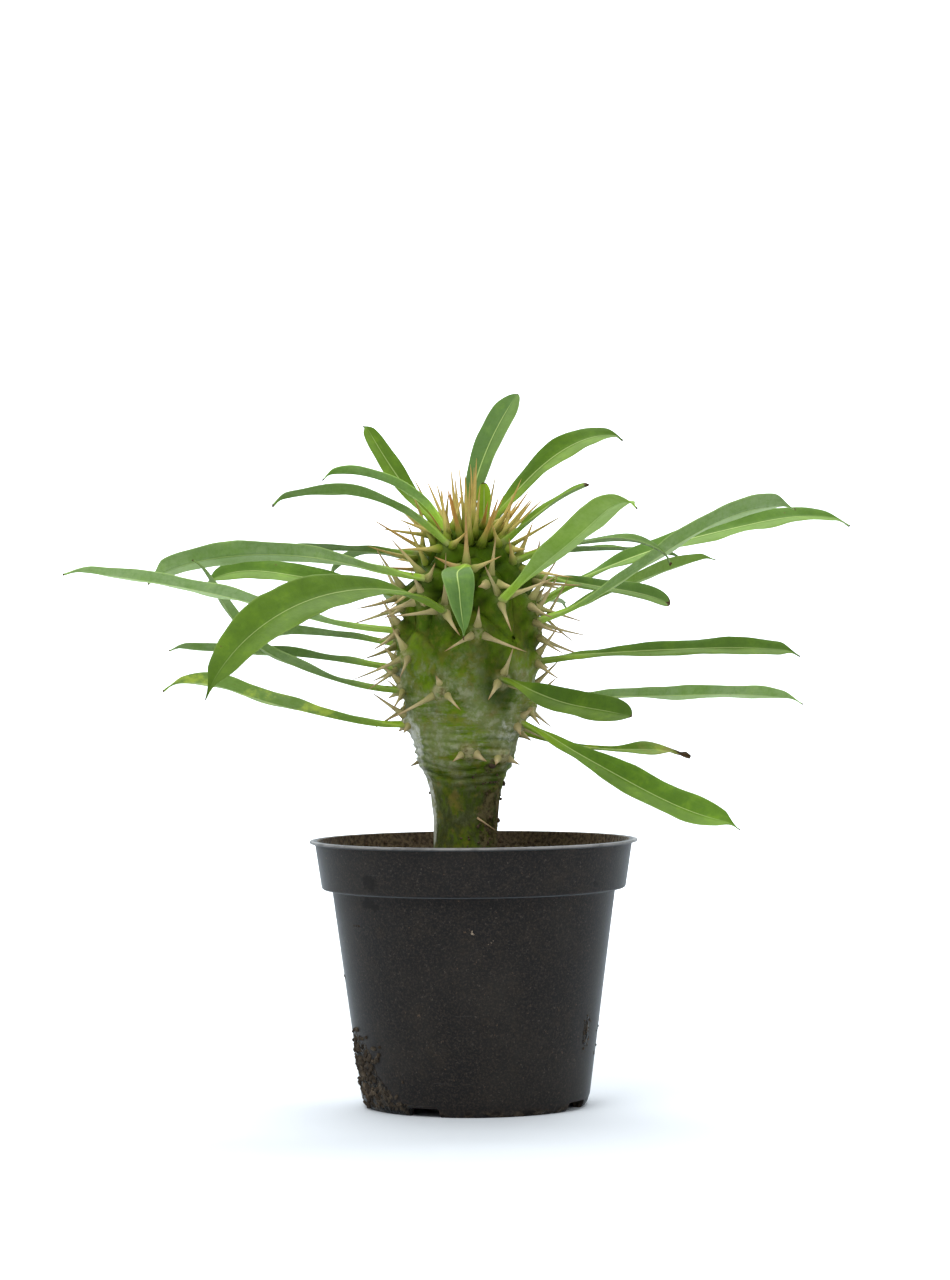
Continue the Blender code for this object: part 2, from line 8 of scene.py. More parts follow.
import json
import logging
import math
import random
from collections.abc import Iterable, Mapping, Sequence
from dataclasses import dataclass, field
from enum import Enum

import bmesh
import bpy
from mathutils import Matrix, Vector, noise

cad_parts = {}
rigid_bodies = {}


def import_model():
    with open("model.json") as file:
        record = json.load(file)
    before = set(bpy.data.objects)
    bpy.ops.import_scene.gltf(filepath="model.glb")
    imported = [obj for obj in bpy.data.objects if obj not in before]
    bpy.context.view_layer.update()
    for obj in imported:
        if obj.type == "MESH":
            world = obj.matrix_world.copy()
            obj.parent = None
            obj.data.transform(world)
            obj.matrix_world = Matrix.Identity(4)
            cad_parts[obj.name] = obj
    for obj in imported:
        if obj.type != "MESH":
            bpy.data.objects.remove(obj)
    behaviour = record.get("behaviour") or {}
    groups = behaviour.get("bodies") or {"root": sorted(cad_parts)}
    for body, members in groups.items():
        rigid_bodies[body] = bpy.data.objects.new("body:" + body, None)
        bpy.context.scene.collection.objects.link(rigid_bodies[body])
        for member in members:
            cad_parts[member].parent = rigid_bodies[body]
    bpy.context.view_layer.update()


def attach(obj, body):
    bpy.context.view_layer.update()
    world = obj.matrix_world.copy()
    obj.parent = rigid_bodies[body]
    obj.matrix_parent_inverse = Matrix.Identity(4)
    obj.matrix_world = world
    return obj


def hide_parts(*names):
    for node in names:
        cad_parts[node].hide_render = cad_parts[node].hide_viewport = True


LOG = logging.getLogger("palm")
MM = 0.001
Colour = tuple[float, float, float]
Outline = list[tuple[float, float]]
Named = Mapping | None
UP = Vector((0, 0, 1))
# How far the pot's band leans out over a rise of one.
BAND_SLOPE = 0.134
SOIL_LEVEL = 79 * MM


def held(x: float, low: float = 0.0, high: float = 1.0) -> float:
    """A number kept between two others."""
    return min(max(x, low), high)


def bell(x: float) -> float:
    """A bell curve that is 1 at 0 and 0.37 at 1."""
    return math.exp(-(x**2))


def wobble(*place: float) -> float:
    """Smooth noise from -1 to 1 at a place that is given by its three coordinates."""
    return noise.noise(Vector(place))


def along(values: Sequence, t: float) -> float | Vector:
    """Reads a smooth curve through evenly spaced values.

    Args:
        values: numbers or vectors, from the start of the curve to its end.
        t: the place to read, from 0 to 1.

    Returns:
        The number or vector there.
    """
    last = len(values) - 1
    place = held(t) * last
    i = min(int(place), last - 1)
    f = place - i
    before = values[max(i - 1, 0)]
    after = values[min(i + 2, last)]
    a, b = values[i], values[i + 1]
    bend = 2 * before - 5 * a + 4 * b - after
    turn = 3 * (a - b) + after - before
    return a + 0.5 * f * (b - before + f * (bend + f * turn))


def ease(x: float) -> float:
    """A smooth step from 0 to 1."""
    x = held(x)
    return x * x * (3 - 2 * x)


def level(heading: float) -> Vector:
    """The level unit vector of a heading."""
    turn = math.radians(heading)
    return Vector((math.cos(turn), math.sin(turn), 0))


def direction(heading: float, slope: float) -> Vector:
    """The unit vector of a heading and a slope."""
    rise = math.radians(slope)
    return level(heading) * math.cos(rise) + UP * math.sin(rise)


class Signal:
    """One socket of a shader, which Python arithmetic extends with Math nodes."""

    def __init__(self, bench: "Bench", socket: bpy.types.NodeSocket) -> None:
        """Wraps an output socket of a bench."""
        self.bench = bench
        self.socket = socket

    def _math(
        self, operation: str, first: "Term", second: "Term | None" = None, clamp: bool = False
    ) -> "Signal":
        """Adds a Math node.

        Args:
            operation: the node's operation.
            first: the first value or signal.
            second: the second value or signal, where the operation takes two.
            clamp: whether the result is kept from 0 to 1.

        Returns:
            The node's value.
        """
        values = {0: first} if second is None else {0: first, 1: second}
        return self.bench.read("ShaderNodeMath", {"operation": operation, "use_clamp": clamp}, values)

    def __add__(self, other: "Term") -> "Signal":
        """self + other"""
        return self._math("ADD", self, other)

    __radd__ = __add__

    def __sub__(self, other: "Term") -> "Signal":
        """self - other"""
        return self._math("SUBTRACT", self, other)

    def __rsub__(self, other: "Term") -> "Signal":
        """other - self"""
        return self._math("SUBTRACT", other, self)

    def __mul__(self, other: "Term") -> "Signal":
        """self * other"""
        return self._math("MULTIPLY", self, other)

    __rmul__ = __mul__

    def __truediv__(self, other: "Term") -> "Signal":
        """self / other"""
        return self._math("DIVIDE", self, other)

    def __pow__(self, other: "Term") -> "Signal":
        """self ** other"""
        return self._math("POWER", self, other)

    def __abs__(self) -> "Signal":
        """abs(self)"""
        return self._math("ABSOLUTE", self)

    def stretched(self, scale: tuple[float, float, float]) -> "Signal":
        """The vector with its axes multiplied."""
        return self.bench.read("ShaderNodeVectorMath", {"operation": "MULTIPLY"}, {0: self, 1: scale})

    def clamped(self) -> "Signal":
        """The value kept from 0 to 1."""
        return self._math("ADD", self, 0.0, clamp=True)

    def step(self, low: float, high: float) -> "Signal":
        """A smooth step over this value.

        Args:
            low: the value where the step starts.
            high: the value where it ends, which may be the lower one.

        Returns:
            0 at low and 1 at high.
        """
        ends = {1: high, 2: low, 3: 1.0, 4: 0.0} if low > high else {1: low, 2: high}
        return self.bench.read("ShaderNodeMapRange", {"interpolation_type": "SMOOTHSTEP"}, {0: self, **ends})


Term = Signal | float
Tint = Signal | Colour


class Bench:
    """A material's node tree, with the one method that adds any node to it."""

    def __init__(self, name: str) -> None:
        """Makes an empty material.

        Args:
            name: the material's name.
        """
        self.material = bpy.data.materials.new(name)
        self.material.use_nodes = True
        self.tree = self.material.node_tree
        self.tree.nodes.clear()

    def node(self, kind: str, settings: Named = None, inputs: Named = None) -> bpy.types.Node:
        """Adds a node.

        Args:
            kind: the node's type.
            settings: its properties, which are set first. The key stops gives a ramp's stops.
            inputs: the value or the signal of each socket, by name or by number.

        Returns:
            The node.
        """
        made = self.tree.nodes.new(kind)
        for key, value in (settings or {}).items():
            if key == "stops":
                stops = made.color_ramp.elements
                while len(stops) < len(value):
                    stops.new(0.5)
                for stop, (place, colour) in zip(stops, value):
                    stop.position = place
                    stop.color = (*colour, 1)
            else:
                setattr(made, key, value)
        for key, value in (inputs or {}).items():
            socket = made.inputs[key]
            if isinstance(value, Signal):
                self.tree.links.new(value.socket, socket)
            elif isinstance(value, tuple) and len(value) == 3 and socket.type == "RGBA":
                socket.default_value = (*value, 1)
            else:
                socket.default_value = value
        return made

    def read(self, kind: str, settings: Named = None, inputs: Named = None, output: int | str = 0) -> Signal:
        """Adds a node as node() does, and gives the signal of one of its outputs."""
        return Signal(self, self.node(kind, settings, inputs).outputs[output])

    def place(self, stretch: tuple[float, float, float] = (1, 1, 1)) -> Signal:
        """Object coordinates.

        Args:
            stretch: what each axis is multiplied by.

        Returns:
            The coordinates as a vector.
        """
        spot = self.read("ShaderNodeTexCoord", output="Object")
        if stretch == (1, 1, 1):
            return spot
        return self.read("ShaderNodeMapping", {}, {"Vector": spot, "Scale": stretch})

    def axes(self, vector: Signal) -> tuple[Signal, Signal, Signal]:
        """The three components of a vector."""
        node = self.node("ShaderNodeSeparateXYZ", {}, {0: vector})
        return tuple(Signal(self, node.outputs[i]) for i in range(3))

    def stored(self, name: str, vector: bool = False) -> Signal:
        """The number, or the vector, that the mesh keeps under a name."""
        output = "Vector" if vector else "Fac"
        return self.read("ShaderNodeAttribute", {"attribute_name": name}, output=output)

    def grain(
        self, at: Signal, scale: float, detail: float = 3, rough: float = 0.6, warp: float = 0
    ) -> Signal:
        """Noise of about 0.5: where, its scale to a metre, its finer layers, their strength and its warp."""
        values = {"Vector": at, "Scale": scale, "Detail": detail, "Roughness": rough, "Distortion": warp}
        return self.read("ShaderNodeTexNoise", {}, values)

    def cells(self, at: Signal, scale: float, random_value: bool = False) -> Signal:
        """Voronoi cells.

        Args:
            at: where they are read.
            scale: how many cells there are in a metre.
            random_value: whether to give each cell's own random value and not the distance to its middle.

        Returns:
            The distance or the random value.
        """
        node = self.node("ShaderNodeTexVoronoi", {}, {"Vector": at, "Scale": scale})
        if not random_value:
            return Signal(self, node.outputs["Distance"])
        return self.axes(Signal(self, node.outputs["Color"]))[0]

    def mix(self, share: Term, first: Tint, second: Tint) -> Signal:
        """Mixes two colours, where the share is how much of the second there is."""
        settings = {"data_type": "RGBA", "blend_type": "MIX", "clamp_factor": True}
        return self.read("ShaderNodeMix", settings, {0: share, 6: first, 7: second}, 2)

    def coats(self, colour: Tint, *layers: tuple) -> Signal:
        """Lays coats of colour over one another.

        Args:
            colour: what lies under them all.
            layers: the share and the colour of each coat, from the lowest up.

        Returns:
            The mixed colour.
        """
        for share, tint in layers:
            colour = self.mix(share, colour, tint)
        return colour

    def scaled(self, colour: Signal, factor: Signal) -> Signal:
        """A colour that is multiplied by a value."""
        return self.read("ShaderNodeVectorMath", {"operation": "SCALE"}, {0: colour, "Scale": factor})

    def ramp(self, share: Signal, stops: Sequence[tuple[float, Colour]]) -> Signal:
        """The colour at a share of a ramp, whose stops are places from 0 to 1 and their colours."""
        return self.read("ShaderNodeValToRGB", {"stops": stops}, {0: share})

    def bump(self, height: Signal, depth: float, normal: Signal | None = None, strength: float = 1) -> Signal:
        """A Bump node.

        Args:
            height: the relief, from 0 to 1.
            depth: how deep it is in metres.
            normal: the relief under it.
            strength: how much of it shows.

        Returns:
            The normal.
        """
        values = {"Height": height, "Distance": depth, "Strength": strength}
        if normal:
            values["Normal"] = normal
        return self.read("ShaderNodeBump", {}, values)

    def surface(
        self, colour: Tint, roughness: Term, normal: Signal | None = None, **fixed: float | Colour
    ) -> bpy.types.Material:
        """Ends the tree in a Principled shader.

        Args:
            colour: the base colour.
            roughness: the roughness.
            normal: the relief.
            fixed: values of other sockets, with _ for a space in their names.

        Returns:
            The finished material.
        """
        values = {"Base Color": colour, "Roughness": roughness}
        values.update((key.replace("_", " "), value) for key, value in fixed.items())
        if normal:
            values["Normal"] = normal
        shader = self.node("ShaderNodeBsdfPrincipled", {}, values)
        output = self.node("ShaderNodeOutputMaterial")
        self.tree.links.new(shader.outputs[0], output.inputs[0])
        return self.material


@dataclass(frozen=True)
class PlasticFinish:
    """Matte charcoal nursery-pot plastic with dust, specks, rubs, dried mud and dark smudges on the band, and
    a painted highlight along the lip's edge.
    """

    colour: Colour = (0.0105, 0.0100, 0.0098)
    dusty: Colour = (0.028, 0.025, 0.021)
    mud: Colour = (0.074, 0.056, 0.037)
    film_dark: Colour = (0.062, 0.044, 0.028)
    film_light: Colour = (0.165, 0.122, 0.076)
    smudges_mm: tuple = ((-32.7, 74.3, 2.5), (-33.6, 67.6, 2.0), (-31.2, 66.2, 1.2), (38.6, 73.2, 0.8))

    def material(self) -> bpy.types.Material:
        """Builds the material.

        Returns:
            The finished material.
        """
        bench = Bench("pot_plastic")
        at = bench.place()
        x, y, z = bench.axes(at)
        cloud = bench.grain(at, 38, 5, 0.6)
        patch = bench.grain(at, 130, 4, 0.68)
        fine = bench.grain(at, 900)
        colour = bench.mix(cloud.step(0.42, 0.68) * 0.5, self.colour, self.dusty)
        grit = bench.grain(at, 820).step(0.64, 0.74) * bench.grain(at, 120).step(0.46, 0.62)
        haze = bench.grain(at, 1500, 4, 0.75).step(0.46, 0.62)
        dust = bench.grain(at, 1000, 3, 0.7).step(0.60, 0.72)
        pick = bench.cells(at, 170, True).step(0.950, 0.960)
        flake = (bench.cells(at, 170) + bench.grain(at, 700, 3, 0.7) * 0.6).step(0.44, 0.40) * pick
        rub = bench.grain(bench.place((60, 60, 1400)), 1.0, 2, 0.5).step(0.72, 0.80)
        reach = (x * x + y * y) ** 0.5
        crust = (bench.stored("mud") + (bench.grain(at, 140, 4, 0.65) - 0.5) * 1.1).step(0.42, 0.58)
        foot = z.step(3.4 * MM, 0.5 * MM) * bench.grain(at, 200).step(0.35, 0.6)
        soiling = (crust + foot * 0.85).clamped()
        clod = (bench.grain(at, 420, 4, 0.65) - bench.grain(at, 110) * 0.5 + 0.25).step(0.40, 0.64)
        inside = (reach - z * BAND_SLOPE).step(39.4 * MM, 38.9 * MM) * z.step(70 * MM, 76 * MM)
        film = inside * (bench.grain(at, 150, 4, 0.68) - z.step(83 * MM, 86 * MM) * 0.06).step(0.10, 0.40)
        # Painted highlight: a pale line along the front edge of the lip.
        edge = z.step(85.1 * MM, 85.6 * MM) * reach.step(51.4 * MM, 52.3 * MM)
        colour = bench.coats(
            colour,
            (patch.step(0.50, 0.70) * 0.35, (0.030, 0.023, 0.016)),
            (fine.step(0.45, 0.75) * 0.35, (0.007, 0.007, 0.008)),
            (grit * 0.70, (0.125, 0.080, 0.050)),
            (haze * 0.62, (0.038, 0.029, 0.023)),
            (dust * 0.42, (0.095, 0.080, 0.066)),
            (flake * 0.60, (0.40, 0.32, 0.23)),
            (rub * 0.18, (0.09, 0.085, 0.08)),
            (soiling * 0.92, bench.mix(clod * z.step(62 * MM, 50 * MM), (0.005, 0.0035, 0.0025), self.mud)),
            (film * 0.95, bench.mix(fine.step(0.34, 0.62), self.film_dark, self.film_light)),
            # The painted highlight on the lip's edge.
            (edge * (0.5 + patch.step(0.35, 0.60) * 0.4), (0.26, 0.255, 0.25)),
        )
        for across, height, radius in self.smudges_mm:
            right, up = x - across * MM, z - height * MM
            away = ((right * right + up * up) ** 0.5) / (radius * MM)
            smudge = (away + (bench.grain(at, 480, 4, 0.7) - 0.5) * 2.6).step(1.15, 0.75) * y.step(0, -5 * MM)
            colour = bench.mix(smudge * 0.68, colour, (0.004, 0.0032, 0.0026))
        roughness = 0.46 + cloud * 0.16 + (soiling + film).clamped() * 0.4
        relief = bench.bump(fine, 0.05 * MM, strength=0.5)
        relief = bench.bump((soiling + film).clamped() * bench.grain(at, 520, 4, 0.7), 0.7 * MM, relief)
        return bench.surface(
            colour,
            roughness,
            relief,
            Specular_IOR_Level=0.12,
            Sheen_Weight=0.26,
            Sheen_Roughness=0.30,
            Sheen_Tint=(0.78, 0.92, 1.0),
        )


@dataclass(frozen=True)
class SoilFinish:
    """Dark peat mix."""

    name: str = "peat"
    dark: Colour = (0.034, 0.022, 0.013)
    middle: Colour = (0.092, 0.060, 0.034)
    light: Colour = (0.185, 0.128, 0.076)

    def material(self) -> bpy.types.Material:
        """Builds the material.

        Returns:
            The finished material.
        """
        bench = Bench(self.name)
        at = bench.place()
        clod = bench.grain(at, 260, 5, 0.65)
        fibre = bench.grain(bench.place((1, 0.25, 1)), 900, 3, 0.6, 1.5)
        colour = bench.ramp(clod, [(0.30, self.dark), (0.52, self.middle), (0.74, self.light)])
        relief = bench.bump(clod, 0.9 * MM)
        relief = bench.bump(fibre, 0.35 * MM, relief)
        colour = bench.mix(fibre.step(0.62, 0.72) * 0.45, colour, (0.20, 0.14, 0.085))
        return bench.surface(colour, 0.93, relief, Specular_IOR_Level=0.25)


@dataclass(frozen=True)
class SkinFinish:
    """The stem's skin: green under a silvery film that breaks up, corky at its nodes, earthy at its foot,
    with painted shade in its creases and hollows and a painted rim highlight on its left edge.
    """

    deep: Colour = (0.044, 0.086, 0.002)
    fresh: Colour = (0.128, 0.205, 0.007)
    olive: Colour = (0.185, 0.165, 0.026)
    crown: Colour = (0.040, 0.085, 0.001)
    film: Colour = (0.170, 0.195, 0.085)
    film_light: Colour = (0.335, 0.350, 0.225)
    silver: Colour = (0.640, 0.655, 0.600)
    cork: Colour = (0.130, 0.100, 0.042)
    cork_light: Colour = (0.340, 0.310, 0.165)
    earth: Colour = (0.024, 0.016, 0.008)
    earth_light: Colour = (0.150, 0.122, 0.060)

    def material(self) -> bpy.types.Material:
        """Builds the material.

        Returns:
            The finished material.
        """
        bench = Bench("stem_skin")
        at = bench.place()
        z = bench.axes(at)[2]
        knob = bench.stored("knob")
        crease = bench.stored("crease")
        silver = bench.stored("silver")
        tall = z.step(126 * MM, 168 * MM)
        top = z.step(152 * MM, 171 * MM)
        neck = z.step(109 * MM, 100 * MM)
        wide = bench.grain(at, 80, 5, 0.62)
        fine = bench.grain(at, 430, 4, 0.66)
        lying = bench.grain(bench.place((0.30, 0.30, 2.1)), 300, 5, 0.70, 0.4)
        upright = bench.grain(bench.place((1.3, 1.3, 0.65)), 240, 5, 0.70)
        blotch = bench.grain(at, 150, 5, 0.66, 0.5)
        level_band = z.step(139 * MM, 127 * MM)
        fibre = (blotch * (1 - level_band) + lying * level_band) * (1 - neck) + upright * neck
        colour = bench.mix(wide.step(0.38, 0.60), self.deep, self.fresh)
        papery = bench.grain(bench.place((1, 1, 0.8)), 105, 5, 0.68)
        cover = (fibre * 0.55 + papery * 0.45 + silver * 0.22).step(0.44, 0.58)
        upper_green = z.step(142 * MM, 150 * MM) * 0.45
        film = (cover + silver * fine.step(0.30, 0.60) * 0.5).clamped() * (0.80 - tall * 0.38 - upper_green)
        # Keeping the film out of the creases darkens them as painted shade.
        film = (film * (1 - crease)).clamped()
        # Whitish film. On the stem's left edge it is partly a painted rim highlight.
        white_film_and_rim_light = (silver * 1.35 + fibre * 0.7 + fine * 0.5 - 1.22).step(0.04, 0.52)
        shade = neck * (1 - white_film_and_rim_light) * (0.35 + upright.step(0.38, 0.60) * 0.50)
        cork = (knob * 1.4 * bench.grain(at, 500).step(0.28, 0.58)).clamped() * (1 - tall * 0.35)
        bark = bench.mix(fine.step(0.34, 0.56), self.cork, self.cork_light)
        # Painted shade in the hollows between the knobs of the upper stem.
        hollow_shade = (1 - knob * 2.5).clamped() * tall * bench.grain(at, 95).step(0.40, 0.58)
        rust = bench.grain(at, 210, 4, 0.68).step(0.56, 0.70) * (1 - tall * 0.6) * 0.40
        soiled = bench.stored("soiled") * 0.50
        line = bench.grain(at, 300, 5, 0.72) + soiled + z.step(86 * MM, 79 * MM) * 0.25 - 0.45
        dirt = line.step(0.30, 0.46)
        roughness = 0.52 + film * 0.14 + cork * 0.25 + dirt * 0.4
        relief = bench.bump(wide, 1.2 * MM, strength=0.6)
        relief = bench.bump(fine, 0.28 * MM, relief, 0.8)
        relief = bench.bump(fibre * (0.35 + film), 0.34 * MM, relief, 0.8)
        relief = bench.bump(bench.grain(at, 1500) * (0.3 + cork + dirt), 0.16 * MM, relief)
        colour = bench.coats(
            colour,
            (bench.grain(at, 190, 4, 0.68).step(0.44, 0.62) * 0.55, self.olive),
            (fine.step(0.46, 0.68) * 0.55, (0.052, 0.090, 0.003)),
            (tall * 0.18 + top * (0.40 + wide.step(0.35, 0.65) * 0.35), self.crown),
            (film * 0.85, bench.mix(fine.step(0.40, 0.66), self.film, self.film_light)),
            (white_film_and_rim_light * 0.84, bench.mix(fine.step(0.35, 0.6), self.film_light, self.silver)),
            (shade, (0.036, 0.046, 0.009)),
            (neck * (1 - white_film_and_rim_light) * bench.grain(at, 210, 4, 0.65).step(0.52, 0.66) * 0.45, self.olive),
            (cork * (0.85 - tall * 0.25), bench.mix(top * 0.8, bark, (0.095, 0.140, 0.030))),
            (hollow_shade * 0.45, (0.014, 0.034, 0.000)),
            # Painted shade in the creases between tubercles, in dents and in wrinkle troughs.
            (crease * 0.85, (0.010, 0.022, 0.001)),
            (rust * (1 - white_film_and_rim_light), (0.175, 0.125, 0.035)),
            (dirt * 0.85, bench.mix(fine.step(0.36, 0.60), self.earth, self.earth_light)),
        )
        return bench.surface(colour, roughness, relief, Specular_IOR_Level=0.04)


@dataclass(frozen=True)
class SpineFinish:
    """Spines: golden with green roots on the crown, weathered straw lower down."""

    young_root: Colour = (0.180, 0.240, 0.020)
    young_shaft: Colour = (0.530, 0.440, 0.130)
    young_tip: Colour = (0.470, 0.285, 0.085)
    red: Colour = (0.430, 0.165, 0.030)
    old_root: Colour = (0.305, 0.285, 0.100)
    old_shaft: Colour = (0.510, 0.420, 0.215)
    old_tip: Colour = (0.260, 0.140, 0.060)

    def material(self) -> bpy.types.Material:
        """Builds the material.

        Returns:
            The finished material.
        """
        bench = Bench("spine_horn")
        at = bench.place()
        reach = bench.stored("reach")
        tone = bench.stored("tone")
        young = bench.ramp(reach, [(0.04, self.young_root), (0.34, self.young_shaft), (0.97, self.young_tip)])
        young = bench.mix(tone.step(0.66, 0.94) * reach.step(0.05, 0.4) * 0.7, young, self.red)
        old = bench.ramp(reach, [(0.05, self.old_root), (0.50, self.old_shaft), (0.97, self.old_tip)])
        old = bench.mix(tone * 0.45, old, (0.345, 0.262, 0.150))
        colour = bench.mix(bench.stored("youth"), old, young)
        mottle = bench.grain(at, 900)
        relief = bench.bump(mottle, 0.1 * MM, strength=0.5)
        colour = bench.mix(mottle.step(0.5, 0.75) * 0.30, colour, (0.22, 0.18, 0.09))
        return bench.surface(colour, 0.52, relief, Specular_IOR_Level=0.10)


@dataclass(frozen=True)
class LeafFinish:
    """Leaf blades, dark above and greyer below, with a pale midrib and a lime stalk. Painted light makes the
    strip that hangs lower paler, and painted shade darkens the upper strip and the midrib's sides. What
    differs from leaf to leaf is kept on each mesh."""

    upper: Colour = (0.104, 0.205, 0.014)
    upper_dark: Colour = (0.068, 0.142, 0.010)
    upper_blue: Colour = (0.082, 0.143, 0.056)
    lower: Colour = (0.140, 0.228, 0.058)
    lower_grey: Colour = (0.190, 0.250, 0.125)
    sage: Colour = (0.290, 0.385, 0.170)
    lime: Colour = (0.220, 0.350, 0.018)
    midrib: Colour = (0.360, 0.470, 0.150)
    yellow: Colour = (0.400, 0.480, 0.050)
    brown: Colour = (0.100, 0.060, 0.022)

    def material(self) -> bpy.types.Material:
        """Builds the material.

        Returns:
            The finished material.
        """
        bench = Bench("leaf_blade")
        at = bench.place()
        strap = bench.stored("strap", True)
        across, reach, t = bench.axes(strap)
        youth, sick, blue = bench.axes(bench.stored("state", True))
        dead = bench.stored("dead")
        # Painted light and shade across the fold, kept on the mesh.
        low = bench.stored("low")
        under = bench.stored("under").step(0.3, 0.7)
        gap = abs(across)
        wide = bench.grain(at, 75, 5, 0.6)
        fine = bench.grain(at, 620, 4, 0.65)
        patch = bench.grain(at, 150, 4, 0.65)
        upper = bench.mix(wide.step(0.28, 0.72), self.upper_dark, self.upper)
        upper = bench.mix(blue * 0.8, upper, self.upper_blue)
        lower = bench.mix((wide + blue * 0.3 - 0.08).step(0.30, 0.74), self.lower, self.lower_grey)
        colour = bench.mix(under, upper, lower)
        cross = bench.grain(strap.stretched((0.40, 1.0, 0)), 1.0)
        streak = bench.grain(strap.stretched((1.6, 0.10, 0)), 1.0)
        rib_half = 0.44 - t * 0.30
        rib = (gap / rib_half).step(1.0, 0.4) * t.step(1.0, 0.80)
        # Painted shade in a band next to the midrib.
        rib_side_shade = (gap / rib_half).step(3.6, 1.4) * (1 - rib)
        stalk = reach.step(30.0, 6.0) * t.step(0.34, 0.12)
        blotch = bench.grain(at, 150, 5, 0.68).step(0.48, 0.66) * sick
        spots = bench.cells(at, 330).step(0.17, 0.07) * bench.cells(at, 330, True).step(0.90, 0.93)
        colour = bench.coats(
            colour,
            (fine.step(0.40, 0.75) * 0.30, (0.040, 0.085, 0.020)),
            (cross.step(0.50, 0.62) * 0.16, self.upper_dark),
            (patch.step(0.52, 0.74) * (0.20 - blue * 0.1), self.lime),
            (streak.step(0.52, 0.74) * 0.18, self.lower),
            (streak.step(0.46, 0.28) * 0.24, self.upper_dark),
            # Painted light and shade: the half of the fold that hangs lower is drawn paler, the upper half
            # darker.
            ((low * (0.10 + under * 0.30)).clamped(), self.sage),
            ((low * 0.16 * (1 - under)).clamped(), self.lime),
            ((low * -0.34).clamped(), self.upper_dark),
            (youth * 0.85, self.lime),
            (rib * (0.62 - under * 0.25 + fine * 0.30), self.midrib),
            (rib_side_shade * 0.18, self.upper_dark),
            # The stalk's lime is stronger on the lower half, as painted light.
            (stalk * (0.62 + low * 0.28), self.lime),
            (reach.step(2.6, 1.2) * 0.7, (0.22, 0.22, 0.08)),
            (bench.stored("margin").step(0.90, 0.99) * 0.20, self.midrib),
            (blotch * 0.70, self.yellow),
            (spots * 0.55, self.brown),
        )
        # Each leaf's painted light and shade scales its colour, with a patchy tone on top.
        colour = bench.scaled(colour, bench.stored("light") * (0.88 + patch * 0.24))
        withered = (dead + bench.grain(at, 330) * 0.5 - 0.25).step(0.35, 0.75)
        parched = bench.mix(dead.step(0.75, 0.98), (0.26, 0.22, 0.070), self.brown)
        tip = bench.stored("tip_dry").step(0.35, 0.75)
        roughness = 0.50 + under * 0.10 + fine * 0.10 + withered * 0.25
        relief = bench.bump(rib * (1 - 2 * under) * -1, 0.12 * MM, strength=0.8)
        relief = bench.bump(bench.grain(at, 240, 3, 0.5), 0.28 * MM, relief, 0.40)
        relief = bench.bump(fine, 0.07 * MM, relief, 0.6)
        relief = bench.bump(cross, 0.16 * MM, relief, 0.5)
        colour = bench.coats(
            colour,
            (withered * 0.9, parched),
            (tip, bench.mix(fine, self.brown, (0.030, 0.018, 0.010))),
        )
        return bench.surface(colour, roughness, relief, Specular_IOR_Level=0.08)


@dataclass(frozen=True)
class StrawFinish:
    """A dry bit of straw."""

    def material(self) -> bpy.types.Material:
        """Builds the material.

        Returns:
            The finished material.
        """
        bench = Bench("straw")
        line = bench.grain(bench.place((0.3, 1, 1)), 900)
        colour = bench.ramp(line, [(0.3, (0.30, 0.19, 0.085)), (0.7, (0.56, 0.42, 0.23))])
        return bench.surface(colour, 0.7, bench.bump(line, 0.08 * MM))


@dataclass(frozen=True)
class FloorFinish:
    """The plain pale paper that the pot stands on."""

    colour: Colour = (0.68, 0.72, 0.76)

    def material(self) -> bpy.types.Material:
        """Builds the material."""
        bench = Bench("pale_paper")
        return bench.surface(self.colour, 0.9, None, Specular_IOR_Level=0.05)


def patches_at(spot: Vector, patches: Iterable[tuple], reach: float) -> float:
    """How strongly patches cover a point of a turned piece.

    Args:
        spot: the point, about the piece's own axis.
        patches: the heading, the height, the half width in degrees, the half height and the strength
            of each. Heights are in mm.
        reach: how far out a patch fades to nothing, in its half sizes.

    Returns:
        The cover, from 0 to 1.
    """
    heading = math.degrees(math.atan2(spot.y, spot.x))
    cover = 0.0
    for middle, height, half_turn, half_rise, strength in patches:
        turn = (heading - middle + 180) % 360 - 180
        away = math.hypot(turn / half_turn, (spot.z / MM - height) / half_rise)
        cover = max(cover, strength * ease(reach - away))
    return cover


def placed(name: str, bm: bmesh.types.BMesh, material: bpy.types.Material | None = None) -> bpy.types.Object:
    """Makes a bmesh an object in the scene.

    Args:
        name: the object's name.
        bm: its mesh, which is freed.
        material: its finish. The object is smooth where it has one.

    Returns:
        The object.
    """
    mesh = bpy.data.meshes.new(name)
    bm.to_mesh(mesh)
    bm.free()
    if material:
        mesh.shade_smooth()
        mesh.materials.append(material)
    made = bpy.data.objects.new(name, mesh)
    bpy.context.scene.collection.objects.link(made)
    return made


def float_layers(bm: bmesh.types.BMesh, *names: str) -> list[bmesh.types.BMLayerItem]:
    """Adds layers of one number a vertex to a bmesh."""
    return [bm.verts.layers.float.new(name) for name in names]


def finished(
    name: str, bm: bmesh.types.BMesh, material: bpy.types.Material, nodes: Iterable[str] = ()
) -> bpy.types.Object:
    """Makes a bmesh a smooth piece that rides on the plant.

    Args:
        name: the piece's name.
        bm: its mesh, in the frame of the solids. It is freed.
        material: its finish.
        nodes: the solids that it stands for.

    Returns:
        The piece.
    """
    piece = placed(name, bm, material)
    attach(piece, "root")
    if nodes:
        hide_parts(*nodes)
    LOG.info("%s: %d faces", name, len(piece.data.polygons))
    return piece


